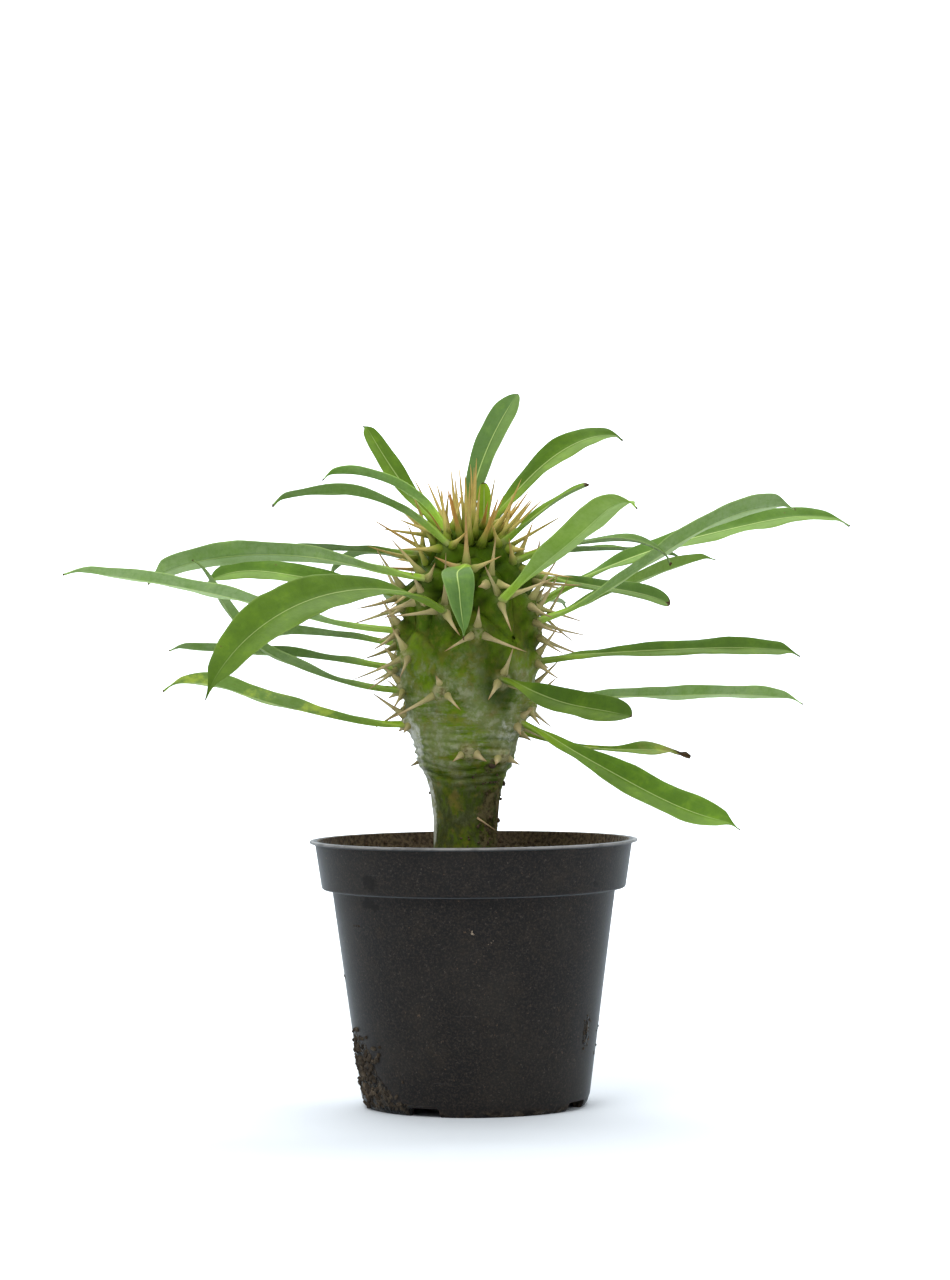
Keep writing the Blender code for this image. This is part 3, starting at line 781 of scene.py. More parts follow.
def lathe(bm: bmesh.types.BMesh, profile: Outline, steps: int) -> None:
    """Spins a profile round Z.

    Args:
        bm: where the surface goes.
        profile: (radius, height) points down the outer side.
        steps: how many steps there are in the full turn.
    """
    points = [bm.verts.new((radius, 0, height)) for radius, height in profile]
    edges = [bm.edges.new(pair) for pair in zip(points, points[1:])]
    bmesh.ops.spin(
        bm, geom=points + edges, cent=(0, 0, 0), axis=(0, 0, 1), angle=math.tau, steps=steps, use_merge=True
    )
    bmesh.ops.remove_doubles(bm, verts=bm.verts, dist=0.5e-6)
    bmesh.ops.recalc_face_normals(bm, faces=bm.faces)


def round_edges(bm: bmesh.types.BMesh, edges: Sequence, offset: float, segments: int) -> None:
    """Rounds edges of a bmesh, with the offset and the number of segments that are given."""
    settings = {"offset_type": "OFFSET", "profile": 0.5, "affect": "EDGES", "material": -1}
    bmesh.ops.bevel(bm, geom=edges, offset=offset, segments=segments, **settings)


def rounded(points: Outline, radius: float, parts: int = 3) -> Outline:
    """Rounds the corners of a profile.

    Args:
        points: (radius, height) corners. The first and the last one stay as they are.
        radius: how far from a corner its curve starts.
        parts: how many stretches each curve has.

    Returns:
        The rounded profile.
    """
    made = [points[0]]
    for before, corner, after in zip(points, points[1:], points[2:]):
        middle = Vector(corner)
        back = Vector(before) - middle
        ahead = Vector(after) - middle
        reach = min(radius, back.length * 0.45, ahead.length * 0.45)
        start = middle + back.normalized() * reach
        end = middle + ahead.normalized() * reach
        for i in range(parts + 1):
            t = i / parts
            made.append(tuple(start * (1 - t) ** 2 + middle * 2 * t * (1 - t) + end * t * t))
    return made + [points[-1]]


def crumb_piece(name: str, places: Sequence[tuple], dice: random.Random, skin: bpy.types.Material) -> None:
    """Makes a piece of lumpy crumbs.

    Args:
        name: the piece's name.
        places: the middle, the way out of the surface and the size of each crumb.
        dice: the source of their shapes.
        skin: their finish.
    """
    bm = bmesh.new()
    for middle, out, size in places:
        turn = Matrix.Rotation(dice.uniform(0, 6.28), 4, "Z")
        face = out.to_track_quat("Z", "Y").to_matrix().to_4x4()
        matrix = Matrix.Translation(middle) @ face @ turn
        made = bmesh.ops.create_icosphere(bm, subdivisions=1, radius=size / 2, matrix=matrix)["verts"]
        stretch = Vector((dice.uniform(0.7, 1.5), dice.uniform(0.6, 1.1), dice.uniform(0.45, 0.9)))
        inverse = matrix.inverted()
        for vertex in made:
            spot = inverse @ vertex.co
            spot = Vector((spot.x * stretch.x, spot.y * stretch.y, spot.z * stretch.z))
            vertex.co = matrix @ (spot * dice.uniform(0.75, 1.2))
    finished(name, bm, skin)


@dataclass
class Scar:
    """A leaf scar: its middle on the stem, the way out of the stem, and the two ways along it."""

    middle: Vector
    out: Vector
    side: Vector
    up: Vector


class Tip(Enum):
    """How a leaf ends."""

    HOOKED = "hooked"
    BLUNT = "blunt"
    CUT = "cut"
    NOTCHED = "notched"
    WITHERED = "withered"


# How dry each kind of end is at its very tip, how unevenly, and how many mm of the leaf turn dry.
DRY_ENDS = {
    Tip.HOOKED: (1.25, 0.0, 1.0),
    Tip.BLUNT: (1.1, 0.5, 0.8),
    Tip.CUT: (1.5, 0.5, 1.5),
    Tip.NOTCHED: (1.3, 0.5, 1.4),
    Tip.WITHERED: (1.5, 0.5, 5.0),
}


@dataclass
class Leaf:
    """One strap leaf: where it leaves the stem, how its centre line runs, and its size in mm. Then how young,
    blotched, blue and withered it is, the painted light and shade that its colour is multiplied by, how far
    its two halves differ in painted light and shade, and how it ends."""

    name: str
    foot: tuple
    headings: tuple
    slopes: tuple
    length: float
    width: float
    roll: float = 0.0
    bluntness: float = 2.0
    widest: float = 0.62
    splay: float = 62
    youth: float = 0.0
    sick: float = 0.0
    blue: float = 0.3
    dead: float = 0.0
    # Painted light and shade of the whole leaf: its colour is multiplied by this.
    light: float = 1.0
    # How strongly painted light and shade set the fold's two halves apart.
    strips: float = 1.0
    tip: Tip = Tip.HOOKED


LEAVES = (
    Leaf("leaf_left_1", (190, 154), (206, 206, 200), (4, 14, 10, 6), 112, 8.2, 25, 6.0, blue=0.85,
         light=1.95),
    Leaf("leaf_left_2", (227, 170), (190, 170, 168), (9, 13, 3, -8, -24), 90, 10.4, 45, 5.0, 0.72,
         blue=0.45, light=1.5),
    Leaf("leaf_left_3", (160, 177), (165, 172, 175), (6, 1, -6), 58, 8.0, 10, 4.0),
    Leaf("leaf_left_4", (172, 165.5), (178, 180, 180), (13, 9, 7, -25), 63, 11.5, -40, 4.0, light=1.1),
    Leaf("leaf_left_5", (163, 150), (170, 172, 172), (10, 4, -5), 50, 7.5, 22, 3.0, blue=0.5, light=1.3),
    Leaf("leaf_left_6", (187, 142.5), (187, 187, 185), (9, 7, 3, 8), 71, 7.5, 24, 4.0, blue=0.5, light=1.35),
    Leaf("leaf_left_7", (197, 135.5), (192, 192, 188), (5, 16, 28, 58, 55), 82, 6.8, 24, blue=0.4,
         light=1.15),
    Leaf("leaf_left_8", (193, 124.5), (190, 188, 186), (0, 11, 15, 17, -14), 78, 10.8, 25, 4.5, youth=0.15,
         sick=0.75, blue=0.0, light=1.3),
    Leaf("leaf_front_1", (249, 160.5), (231, 222, 214), (22, 4, -12, -33, -57), 107, 17.0, -40, 2.6,
         youth=0.12, blue=0.0, light=0.86, strips=0.25),
    Leaf("leaf_front_2", (268, 172.5), (268, 250, 268, 292, 300, 302), (-8, -10, -24, -78, -76, -74), 33,
         10.8, widest=0.5, splay=98, blue=0.7, light=1.3),
    Leaf("leaf_front_3", (299, 164), (305, 309, 313), (30, 27, 26, 28, 27, -10), 70, 12.4, -15, 6.0,
         youth=0.35, blue=0.2, light=1.45),
    Leaf("leaf_front_4", (301, 138), (316, 320, 324), (-16, -17, -8, -10), 51, 11.0, 45, 9.0, 0.54,
         blue=0.0, light=0.64, tip=Tip.BLUNT),
    Leaf("leaf_right_1", (15, 162.5), (24, 28, 28), (29, 20, 13, 9, -8), 124, 11.0, 34, 3.0, blue=0.6,
         light=1.3),
    Leaf("leaf_right_2", (345, 157), (-5, 6, 10), (18, 33, 27, 2), 91, 10.5, -35, 6.0, 0.85, blue=0.4,
         light=1.5),
    Leaf("leaf_right_3", (38, 155), (18, 15, 15), (20, 22, 14), 68.5, 8.8, -32, 4.0, 0.7, youth=0.3,
         blue=0.1, light=1.15),
    Leaf("leaf_right_4", (8, 170), (8, 8, 8), (-9, -10, -10, -22), 44, 8.4, 40, 8.0, 0.7, blue=0.8,
         tip=Tip.NOTCHED),
    Leaf("leaf_right_5", (325, 175), (-10, -4, -2), (24, 9, -2, -40), 50, 8.0, 10, 4.0),
    Leaf("leaf_right_6", (45, 176), (30, 25, 22), (6, 2, -10), 64, 6.0, 0, 4.0),
    Leaf("leaf_right_7", (350, 144), (-2, -2, -2), (8, 3, 1, -6), 82, 8.0, 45, 8.0, 0.7, blue=0.2,
         light=0.84),
    Leaf("leaf_right_8", (15, 133.5), (10, 8, 8), (-3, 0, 0, -8), 88, 7.2, -40, 4.0, blue=0.5, light=1.65),
    Leaf("leaf_right_9", (333, 124), (335, 335, 337), (-27, -27, -24, -10), 79, 12.8, 40, 4.5, blue=0.0,
         light=1.18, strips=0.55),
    Leaf("leaf_right_10", (30, 121.5), (15, 15, 15), (-20, -11, -1, -10), 59, 6.8, 32, 2.0, 0.78, youth=0.3,
         sick=0.5, dead=0.6, tip=Tip.WITHERED),
    Leaf("leaf_crown_1", (240, 180.5), (195, 186, 184), (42, 26, 2, -14), 59, 9.2, 18, 5.0, blue=0.45,
         light=1.3),
    Leaf("leaf_crown_2", (220, 184.3), (196, 190, 188), (58, 35, 14, -8), 45, 8.8, 13, 5.0, light=2.3),
    Leaf("leaf_crown_3", (172, 184.4), (152, 148, 145), (45, 51, 56), 45, 7.2, -40, 4.0, youth=0.1,
         blue=0.0, light=0.98, strips=0.6),
    Leaf("leaf_crown_4", (95, 185.8), (50, 36, 34), (78, 64, 52), 48, 10.4, 25, 6.0, blue=0.8, light=1.25,
         tip=Tip.BLUNT),
    Leaf("leaf_crown_5", (20, 185.6), (30, 30, 28), (50, 42, 26, -2), 60, 10.5, 35, 4.0, blue=0.0,
         light=0.95),
    Leaf("leaf_crown_6", (332, 186.3), (60, 80, 80), (84, 88, 86), 12, 4.6, 0, 3.5, youth=1.0, blue=0.0,
         tip=Tip.BLUNT),
    Leaf("leaf_crown_7", (318, 180.5), (-15, -10, -10), (39, 36, 20), 32, 6.2, 18, 12.0, youth=0.3,
         blue=0.0, tip=Tip.CUT),
    Leaf("leaf_back_1", (130, 174), (130, 128, 128), (12, 4, -32), 56, 8.5),
    Leaf("leaf_back_2", (62, 160), (74, 72, 70), (8, 3, -4), 72, 9.5, 10),
    Leaf("leaf_back_3", (95, 170), (95, 97, 98), (26, 8, -24), 69, 10.5),
    Leaf("leaf_back_4", (118, 158), (108, 104, 100), (18, 8, -12), 70, 10.0, -10),
    Leaf("leaf_back_5", (80, 147), (80, 78, 76), (8, 2, -30), 66, 9.5, 10),
    Leaf("leaf_back_6", (125, 139), (112, 100, 92), (6, 4, -14), 70, 9.0, -10),
    Leaf("leaf_back_7", (100, 131), (98, 100, 102), (-4, -10, -22), 62, 10.5),
    Leaf("leaf_back_8", (75, 124), (84, 88, 90), (-8, -14, -20), 62, 9.5, 15),
)

BARE_SCARS = (
    (290, 169, (0.95, 0.5, 0.35)), (227, 164, (0.5, 0.3, 0.9)), (197, 162, (1.0, 1.0, 1.0)),
    (338, 162, (1.0, 1.0, 1.0)), (278, 153, (0.5, 1.05, 0.85)), (354, 152, (1.05, 1.15, 1.0)),
    (211, 146, (0.6, 1.0, 1.3)), (248, 134.5, (0.25, 0.75, 1.15)), (352, 129, (0.9, 1.0, 0.7)),
    (273, 115.5, (0.0, 0.7, 0.7)), (313, 114, (0.0, 0.8, 0.5)),
)

LEAF_SPINES = {
    "leaf_front_2": (1.0, 0.6, 0.6), "leaf_left_1": (0.6, 1.15, 0.5), "leaf_left_4": (0.9, 1.0, 0.35),
    "leaf_left_6": (0.35, 1.2, 0.7), "leaf_left_7": (0.5, 1.1, 0.35), "leaf_left_8": (1.25, 0.5, 0.35),
    "leaf_right_1": (0.9, 0.35, 1.0), "leaf_right_3": (0.5, 0.35, 0.8), "leaf_right_7": (0.8, 0.3, 1.0),
    "leaf_right_8": (1.0, 0.35, 0.4), "leaf_right_9": (0.5, 0.9, 0.6), "leaf_right_10": (0.5, 0.35, 0.5),
    "leaf_crown_7": (0.8, 1.0, 0.35),
}
USUAL_SPINES = (0.8, 1.0, 1.0)


@dataclass
class Spine:
    """One spine: its root on the stem, its way, its length and how young it is."""

    root: Vector
    way: Vector
    length: float
    youth: float


@dataclass
class Trunk:
    """The club-shaped stem with its tubercles and spines."""

    steps: int = 176
    rings: int = 190
    offset: float = -2.6 * MM
    lean: float = 2.2 * MM
    foot: float = 52 * MM
    outline_mm: tuple = (
        (0.0, 187.0), (4.6, 186.3), (8.8, 184.5), (12.5, 181.8), (15.6, 178.4), (18.4, 174.6),
        (20.4, 169.8), (21.4, 164.0), (21.9, 157.5), (22.3, 151.0), (22.2, 144.5), (21.6, 138.0),
        (20.4, 131.5), (19.1, 126.0), (17.8, 121.0), (16.6, 115.5), (15.2, 110.5), (13.1, 106.5),
        (11.7, 101.5), (10.7, 95.0), (10.3, 84.0), (9.9, 66.0), (8.8, 52.0),
    )
    tubercle: float = 3.4 * MM
    spread: float = 2.7 * MM
    knob_reach: float = 13 * MM
    swell_reach: float = 7.6 * MM
    wrinkle_pitch: float = 2.7 * MM
    wrinkle_depth: float = 0.45 * MM
    spine_lean: float = 52
    lean_play: float = 6
    root_rise: float = 0.45
    young_from: float = 164 * MM
    young_rise: float = 16 * MM
    spine_lengths: tuple = (12.5 * MM, 18.5 * MM)
    low_share: float = 0.32
    short_below: float = 104 * MM
    full_above: float = 147 * MM
    spine_seed: int = 11
    horn_seed: int = 5
    horn_sink: float = 1.9 * MM
    horn_cuts: tuple = (0.16, 0.27, 0.42, 0.62, 0.84)
    horn_mm: tuple = (0.60, 0.78)
    horn_bend: tuple = (-0.02, 0.10)
    horn_flare: float = 1.1
    flare_reach: float = 1.8 * MM
    horn_taper: float = 0.74
    horn_tip: float = 0.03 * MM
    tuft_spines: int = 37
    tuft_lengths: tuple = (18 * MM, 23.5 * MM)
    tuft_drop: float = 5.0 * MM
    tuft_spread: float = 1.15
    fan_mm: tuple = (
        ((-6.6, -4, 183), (-11, -7, 202.4)), ((-12, -3, 181.5), (-20, -5, 198.9)),
        ((-7.5, -5, 184), (-17.5, -9, 196.7)), ((-13.5, -4, 179), (-32.7, -8, 189.5)),
        ((-14.5, -5, 175), (-20.8, -9, 189)), ((7.5, -4, 184), (20.7, -7, 199)),
        ((11, -4, 180), (30.3, -9, 191)), ((9.5, -5, 182.5), (23.8, -9, 196.7)),
        ((6, -6, 184.5), (14.1, -9, 195.1)),
    )
    golden_angle: float = 137.508
    spiral_places: int = 150
    scar_spacing: float = 12.5 * MM
    leaf_clear: float = 2.9 * MM
    scar_top: float = 172 * MM
    scar_foot: float = 113 * MM
    scar_free: tuple = (162, 378)
    # Patches of silvery film. Those near heading 190 sit on the stem's left edge and are partly a painted rim
    # highlight.
    silver_film_and_rim_light_patches: tuple = (
        (190, 119, 29, 11, 0.95), (191, 98, 23, 17, 0.98), (350, 119, 14, 6, 0.70),
        (198, 139, 14, 5, 0.65), (205, 149, 10, 4, 0.45), (190, 168, 12, 4, 0.35), (318, 121, 20, 7, 0.62),
        (345, 125, 14, 5, 0.6), (284, 129, 18, 8, 0.45), (240, 118, 30, 4, 0.35), (60, 125, 40, 9, 0.6),
        (120, 140, 30, 8, 0.6),
    )
    soiled_patches: tuple = (
        (316, 93, 30, 14, 0.80), (345, 90, 34, 15, 0.85), (302, 110, 12, 3.5, 0.7), (335, 105, 20, 5, 0.5),
        (215, 84, 40, 5, 0.35), (90, 84, 50, 7, 0.6),
    )
    profile: list = field(default_factory=list)
    leaf_scars: list = field(default_factory=list)
    scars: list = field(default_factory=list)

    def __post_init__(self) -> None:
        """Works out the outline and the scars that the leaves need."""
        self.profile = self.outline(40)
        self.leaf_scars = [self.scar_at(leaf.foot[0], leaf.foot[1] * MM) for leaf in LEAVES]
        bare = [self.scar_at(heading, height * MM) for heading, height, _ in BARE_SCARS]
        self.scars = self.leaf_scars + bare
        for number in range(self.spiral_places):
            height = self.scar_foot + (self.scar_top - self.scar_foot) * number / (self.spiral_places - 1)
            scar = self.scar_at(number * self.golden_angle, height)
            nearest = min((scar.middle - other.middle).length for other in self.scars)
            turn = (number * self.golden_angle - self.scar_free[0]) % 360
            in_front = turn < self.scar_free[1] - self.scar_free[0]
            if nearest > self.scar_spacing and not in_front:
                self.scars.append(scar)

    def outline(self, count: int) -> Outline:
        """The stem's profile.

        Args:
            count: how many stretches it has.

        Returns:
            (radius, height) points from the crown down.
        """
        radii = [radius for radius, _ in self.outline_mm]
        heights = [height for _, height in self.outline_mm]
        points = []
        for step in range(count + 1):
            t = (step / count) ** 1.12
            points.append((along(radii, t) * MM, along(heights, t) * MM))
        points[0] = (0, points[0][1])
        return points

    def shift(self, height: float) -> Vector:
        """How far the stem's middle lies along X from the pot's axis at a height."""
        share = max(height - SOIL_LEVEL, 0) / (self.outline_mm[0][1] * MM - SOIL_LEVEL)
        return Vector((self.offset + self.lean * share**1.5, 0, 0))

    def radius_at(self, height: float) -> tuple[float, float]:
        """Reads the stem's profile.

        Args:
            height: the height to read it at.

        Returns:
            The radius there, and how fast it grows with height.
        """
        for (upper_r, upper_z), (lower_r, lower_z) in zip(self.profile, self.profile[1:]):
            if lower_z <= height <= upper_z:
                growth = (upper_r - lower_r) / (upper_z - lower_z)
                return lower_r + growth * (height - lower_z), growth
        return 0.0, 0.0

    def side_at(self, heading: float, height: float, lift: float) -> tuple[Vector, Vector]:
        """A point that is lifted off the plain stem's side, and the level way out there."""
        out = level(heading)
        return self.shift(height) + out * (self.radius_at(height)[0] + lift) + UP * height, out

    def scar_at(self, heading: float, height: float) -> Scar:
        """Works out a scar.

        Args:
            heading: its heading from the stem's middle.
            height: its height.

        Returns:
            The scar on the plain stem there.
        """
        radius, growth = self.radius_at(height)
        middle = self.shift(height) + level(heading) * radius + UP * height
        out = (level(heading) - UP * growth).normalized()
        side = level(heading + 90)
        return Scar(middle, out, side, side.cross(out) * -1)

    def spines(self) -> list[Spine]:
        """Works out every spine: three round each scar, turned so that the leaf passes between two of them,
        the crown's tuft, and the long ones that fan out under it.

        Returns:
            The spines.
        """
        made = []
        for number, scar in enumerate(self.scars):
            dice = random.Random(self.spine_seed + number)
            leaf_angle, splay, shares = -90.0, 62.0, USUAL_SPINES
            bare = number - len(LEAVES)
            if 0 <= bare < len(BARE_SCARS):
                shares = BARE_SCARS[bare][2]
            if bare < 0:
                leaf = LEAVES[number]
                splay = leaf.splay
                shares = LEAF_SPINES.get(leaf.name, USUAL_SPINES)
                way = direction(leaf.headings[0], leaf.slopes[0])
                across, upward = way.dot(scar.side), way.dot(scar.up)
                if math.hypot(across, upward) > 0.3:
                    leaf_angle = math.degrees(math.atan2(upward, across))
            for turn, usual in zip((180, splay, -splay), shares):
                if not usual:
                    continue
                angle = math.radians(leaf_angle + turn)
                spread = scar.side * math.cos(angle) + scar.up * math.sin(angle)
                lean = math.radians(self.spine_lean + dice.uniform(-self.lean_play, self.lean_play))
                way = scar.out * math.cos(lean) + spread * math.sin(lean)
                root = scar.middle + spread * self.spread + scar.out * self.tubercle * self.root_rise
                youth = ease((scar.middle.z - self.young_from) / self.young_rise)
                climb = (scar.middle.z - self.short_below) / (self.full_above - self.short_below)
                length = dice.uniform(*self.spine_lengths) * usual
                length *= self.low_share + (1 - self.low_share) * ease(climb)
                made.append(Spine(root, way, length, youth))
        dice = random.Random(self.spine_seed)
        for number in range(self.tuft_spines):
            share = math.sqrt((number + 0.5) / self.tuft_spines)
            height = self.outline_mm[0][1] * MM - self.tuft_drop * share**2
            heading = number * self.golden_angle + 20
            scar = self.scar_at(heading, height)
            way = (level(heading) * (0.06 + self.tuft_spread * share**2) + UP).normalized()
            length = dice.uniform(*self.tuft_lengths) * (1.02 - 0.1 * share)
            if not self.meets_leaf(scar.middle, way, length):
                made.append(Spine(scar.middle, way, length, 1.0))
        for start, end in self.fan_mm:
            way = (Vector(end) - Vector(start)) * MM
            made.append(Spine(Vector(start) * MM, way.normalized(), way.length, 1.0))
        return made

    def meets_leaf(self, root: Vector, way: Vector, length: float) -> bool:
        """Tests a spine against the middle of each leaf's nearer half.

        Args:
            root: the spine's root.
            way: the way it points.
            length: its length.

        Returns:
            Whether it would run into one.
        """
        for leaf, scar in zip(LEAVES, self.leaf_scars):
            middle = Strap(leaf, scar).centre_line()
            for step in range(24):
                spot = along(middle, step / 48) - root
                share = held(spot.dot(way) / length)
                if (spot - way * length * share).length < self.leaf_clear:
                    return True
        return False

    def relief_at(self, spot: Vector) -> tuple[Vector, float, float]:
        """The tubercles' relief at a point of the plain stem.

        Args:
            spot: the point.

        Returns:
            How far the point is lifted, how near it is to a knob and how deep it lies between tubercles,
            which also sets the painted shade of the creases there.
        """
        near = []
        for number, scar in enumerate(self.scars):
            away = spot - scar.middle
            if away.length_squared > self.knob_reach**2:
                continue
            rise = away.dot(scar.up)
            rise *= 0.82 if rise < 0 else 1.12
            near.append((math.hypot(away.dot(scar.side), rise, away.dot(scar.out)), number, scar))
        near.sort(key=lambda item: item[0])
        if not near:
            return Vector((0, 0, 0)), 0.0, 0.0
        lift = Vector((0, 0, 0))
        swell = 0.0
        high = ease((spot.z - 138 * MM) / (30 * MM))
        for distance, number, scar in near[:4]:
            broad = (1.7 + 2.1 * high) * MM * ease(1 - distance / self.swell_reach)
            knob = 1.5 * MM * ease(1.12 - distance / (3.3 * MM))
            if number >= len(LEAVES):
                knob -= 0.55 * MM * ease(1.0 - distance / (1.3 * MM))
            swell += broad**3
            lift += scar.out * knob
        lift += near[0][2].out * (swell ** (1 / 3) - (2.3 + 0.7 * ease(spot.x / (15 * MM))) * MM * high)
        second = near[1][0] if len(near) > 1 else self.knob_reach
        # How deep the point lies between two tubercles: it lowers the skin there and also sets the painted
        # shade of the creases.
        crease = bell((second - near[0][0]) / (1.5 * MM)) * high
        crease *= ease((near[0][0] - 2.5 * MM) / (2.5 * MM))
        lift -= near[0][2].out * crease * 1.5 * MM
        return lift, ease(1.15 - near[0][0] / (3.6 * MM)), crease

    def build(self, finish: SkinFinish, horn: SpineFinish) -> None:
        """Builds the skin and the spines.

        Args:
            finish: the skin's finish.
            horn: the spines' finish.
        """
        bm = bmesh.new()
        lathe(bm, [*self.outline(self.rings), (0, self.foot)], self.steps)
        knob, crease, silver, soiled = float_layers(bm, "knob", "crease", "silver", "soiled")
        for vertex in bm.verts:
            spot = vertex.co + self.shift(vertex.co.z)
            # Silvery film, partly a painted rim highlight on the stem's left edge.
            vertex[silver] = patches_at(vertex.co, self.silver_film_and_rim_light_patches, 1.4)
            vertex[soiled] = patches_at(vertex.co, self.soiled_patches, 1.4)
            lift, vertex[knob], vertex[crease] = self.relief_at(spot)
            outward = Vector((vertex.co.x, vertex.co.y, 0)).normalized()
            swell = noise.noise(spot * 85) * 0.55 * MM + noise.noise(spot * 230) * 0.22 * MM
            dent = noise.noise(spot * 62 + Vector((7, 3, 5))) * ease((spot.z - 120 * MM) / (14 * MM))
            swell += dent * 0.8 * MM
            # Dents deepen the creases' painted shade.
            vertex[crease] = min(vertex[crease] + max(-dent - 0.10, 0) * 1.3 * (1 - vertex[knob]), 1)
            ringed = ease((spot.z - 97 * MM) / (10 * MM)) * ease((126 * MM - spot.z) / (10 * MM))
            fold = spot.z / self.wrinkle_pitch * math.tau + noise.noise(spot * 60) * 5
            ringed *= 0.55 + noise.noise(spot * 110)
            swell += ringed * self.wrinkle_depth * math.sin(fold)
            # The wrinkles' troughs get painted shade.
            vertex[crease] = min(vertex[crease] + max(-math.sin(fold) - 0.3, 0) * ringed * 0.9, 1)
            if spot.z < SOIL_LEVEL - 2 * MM:
                swell *= 0.3
            vertex.co = spot + lift + outward * swell
        finished("stem_skin", bm, finish.material(), ["stem"])
        self.build_spines(horn)

    def build_spines(self, horn: SpineFinish) -> None:
        """Builds every spine as a slim, slightly curved horn with a flared root.

        Args:
            horn: the spines' finish.
        """
        pattern = bmesh.new()
        bmesh.ops.create_cone(pattern, cap_ends=True, segments=8, radius1=1, radius2=1, depth=1)
        bmesh.ops.translate(pattern, verts=pattern.verts, vec=(0, 0, 0.5))
        for cut in self.horn_cuts:
            geometry = pattern.verts[:] + pattern.edges[:] + pattern.faces[:]
            bmesh.ops.bisect_plane(pattern, geom=geometry, plane_co=(0, 0, cut), plane_no=(0, 0, 1))
        horn_mesh = bpy.data.meshes.new("horn_pattern")
        pattern.to_mesh(horn_mesh)
        pattern.free()
        bm = bmesh.new()
        reach, youth, tone = float_layers(bm, "reach", "youth", "tone")
        dice = random.Random(self.horn_seed)
        sink = self.horn_sink
        for spine in self.spines():
            count = len(bm.verts)
            bm.from_mesh(horn_mesh)
            bm.verts.ensure_lookup_table()
            thick = dice.uniform(*self.horn_mm) * (1 + 0.15 * spine.youth) * MM
            bend = dice.uniform(*self.horn_bend) * spine.length
            hue = dice.random()
            turn = spine.way.to_track_quat("Z", "Y").to_matrix()
            lift = (UP - spine.way * spine.way.z).normalized()
            for vertex in bm.verts[count:]:
                s = vertex.co.z
                run = s * (spine.length + sink) - sink
                share = held(run / spine.length)
                flare = 1 + self.horn_flare * math.exp(-max(run, 0) / self.flare_reach)
                radius = thick * flare * (1 - share) ** self.horn_taper + self.horn_tip
                ring = turn @ Vector((vertex.co.x * radius, vertex.co.y * radius, 0))
                vertex.co = spine.root + spine.way * run + ring + lift * bend * share * share
                vertex[reach] = share
                vertex[youth] = spine.youth
                vertex[tone] = hue
        bpy.data.meshes.remove(horn_mesh)
        finished("stem_spines", bm, horn.material(), ["stem"])


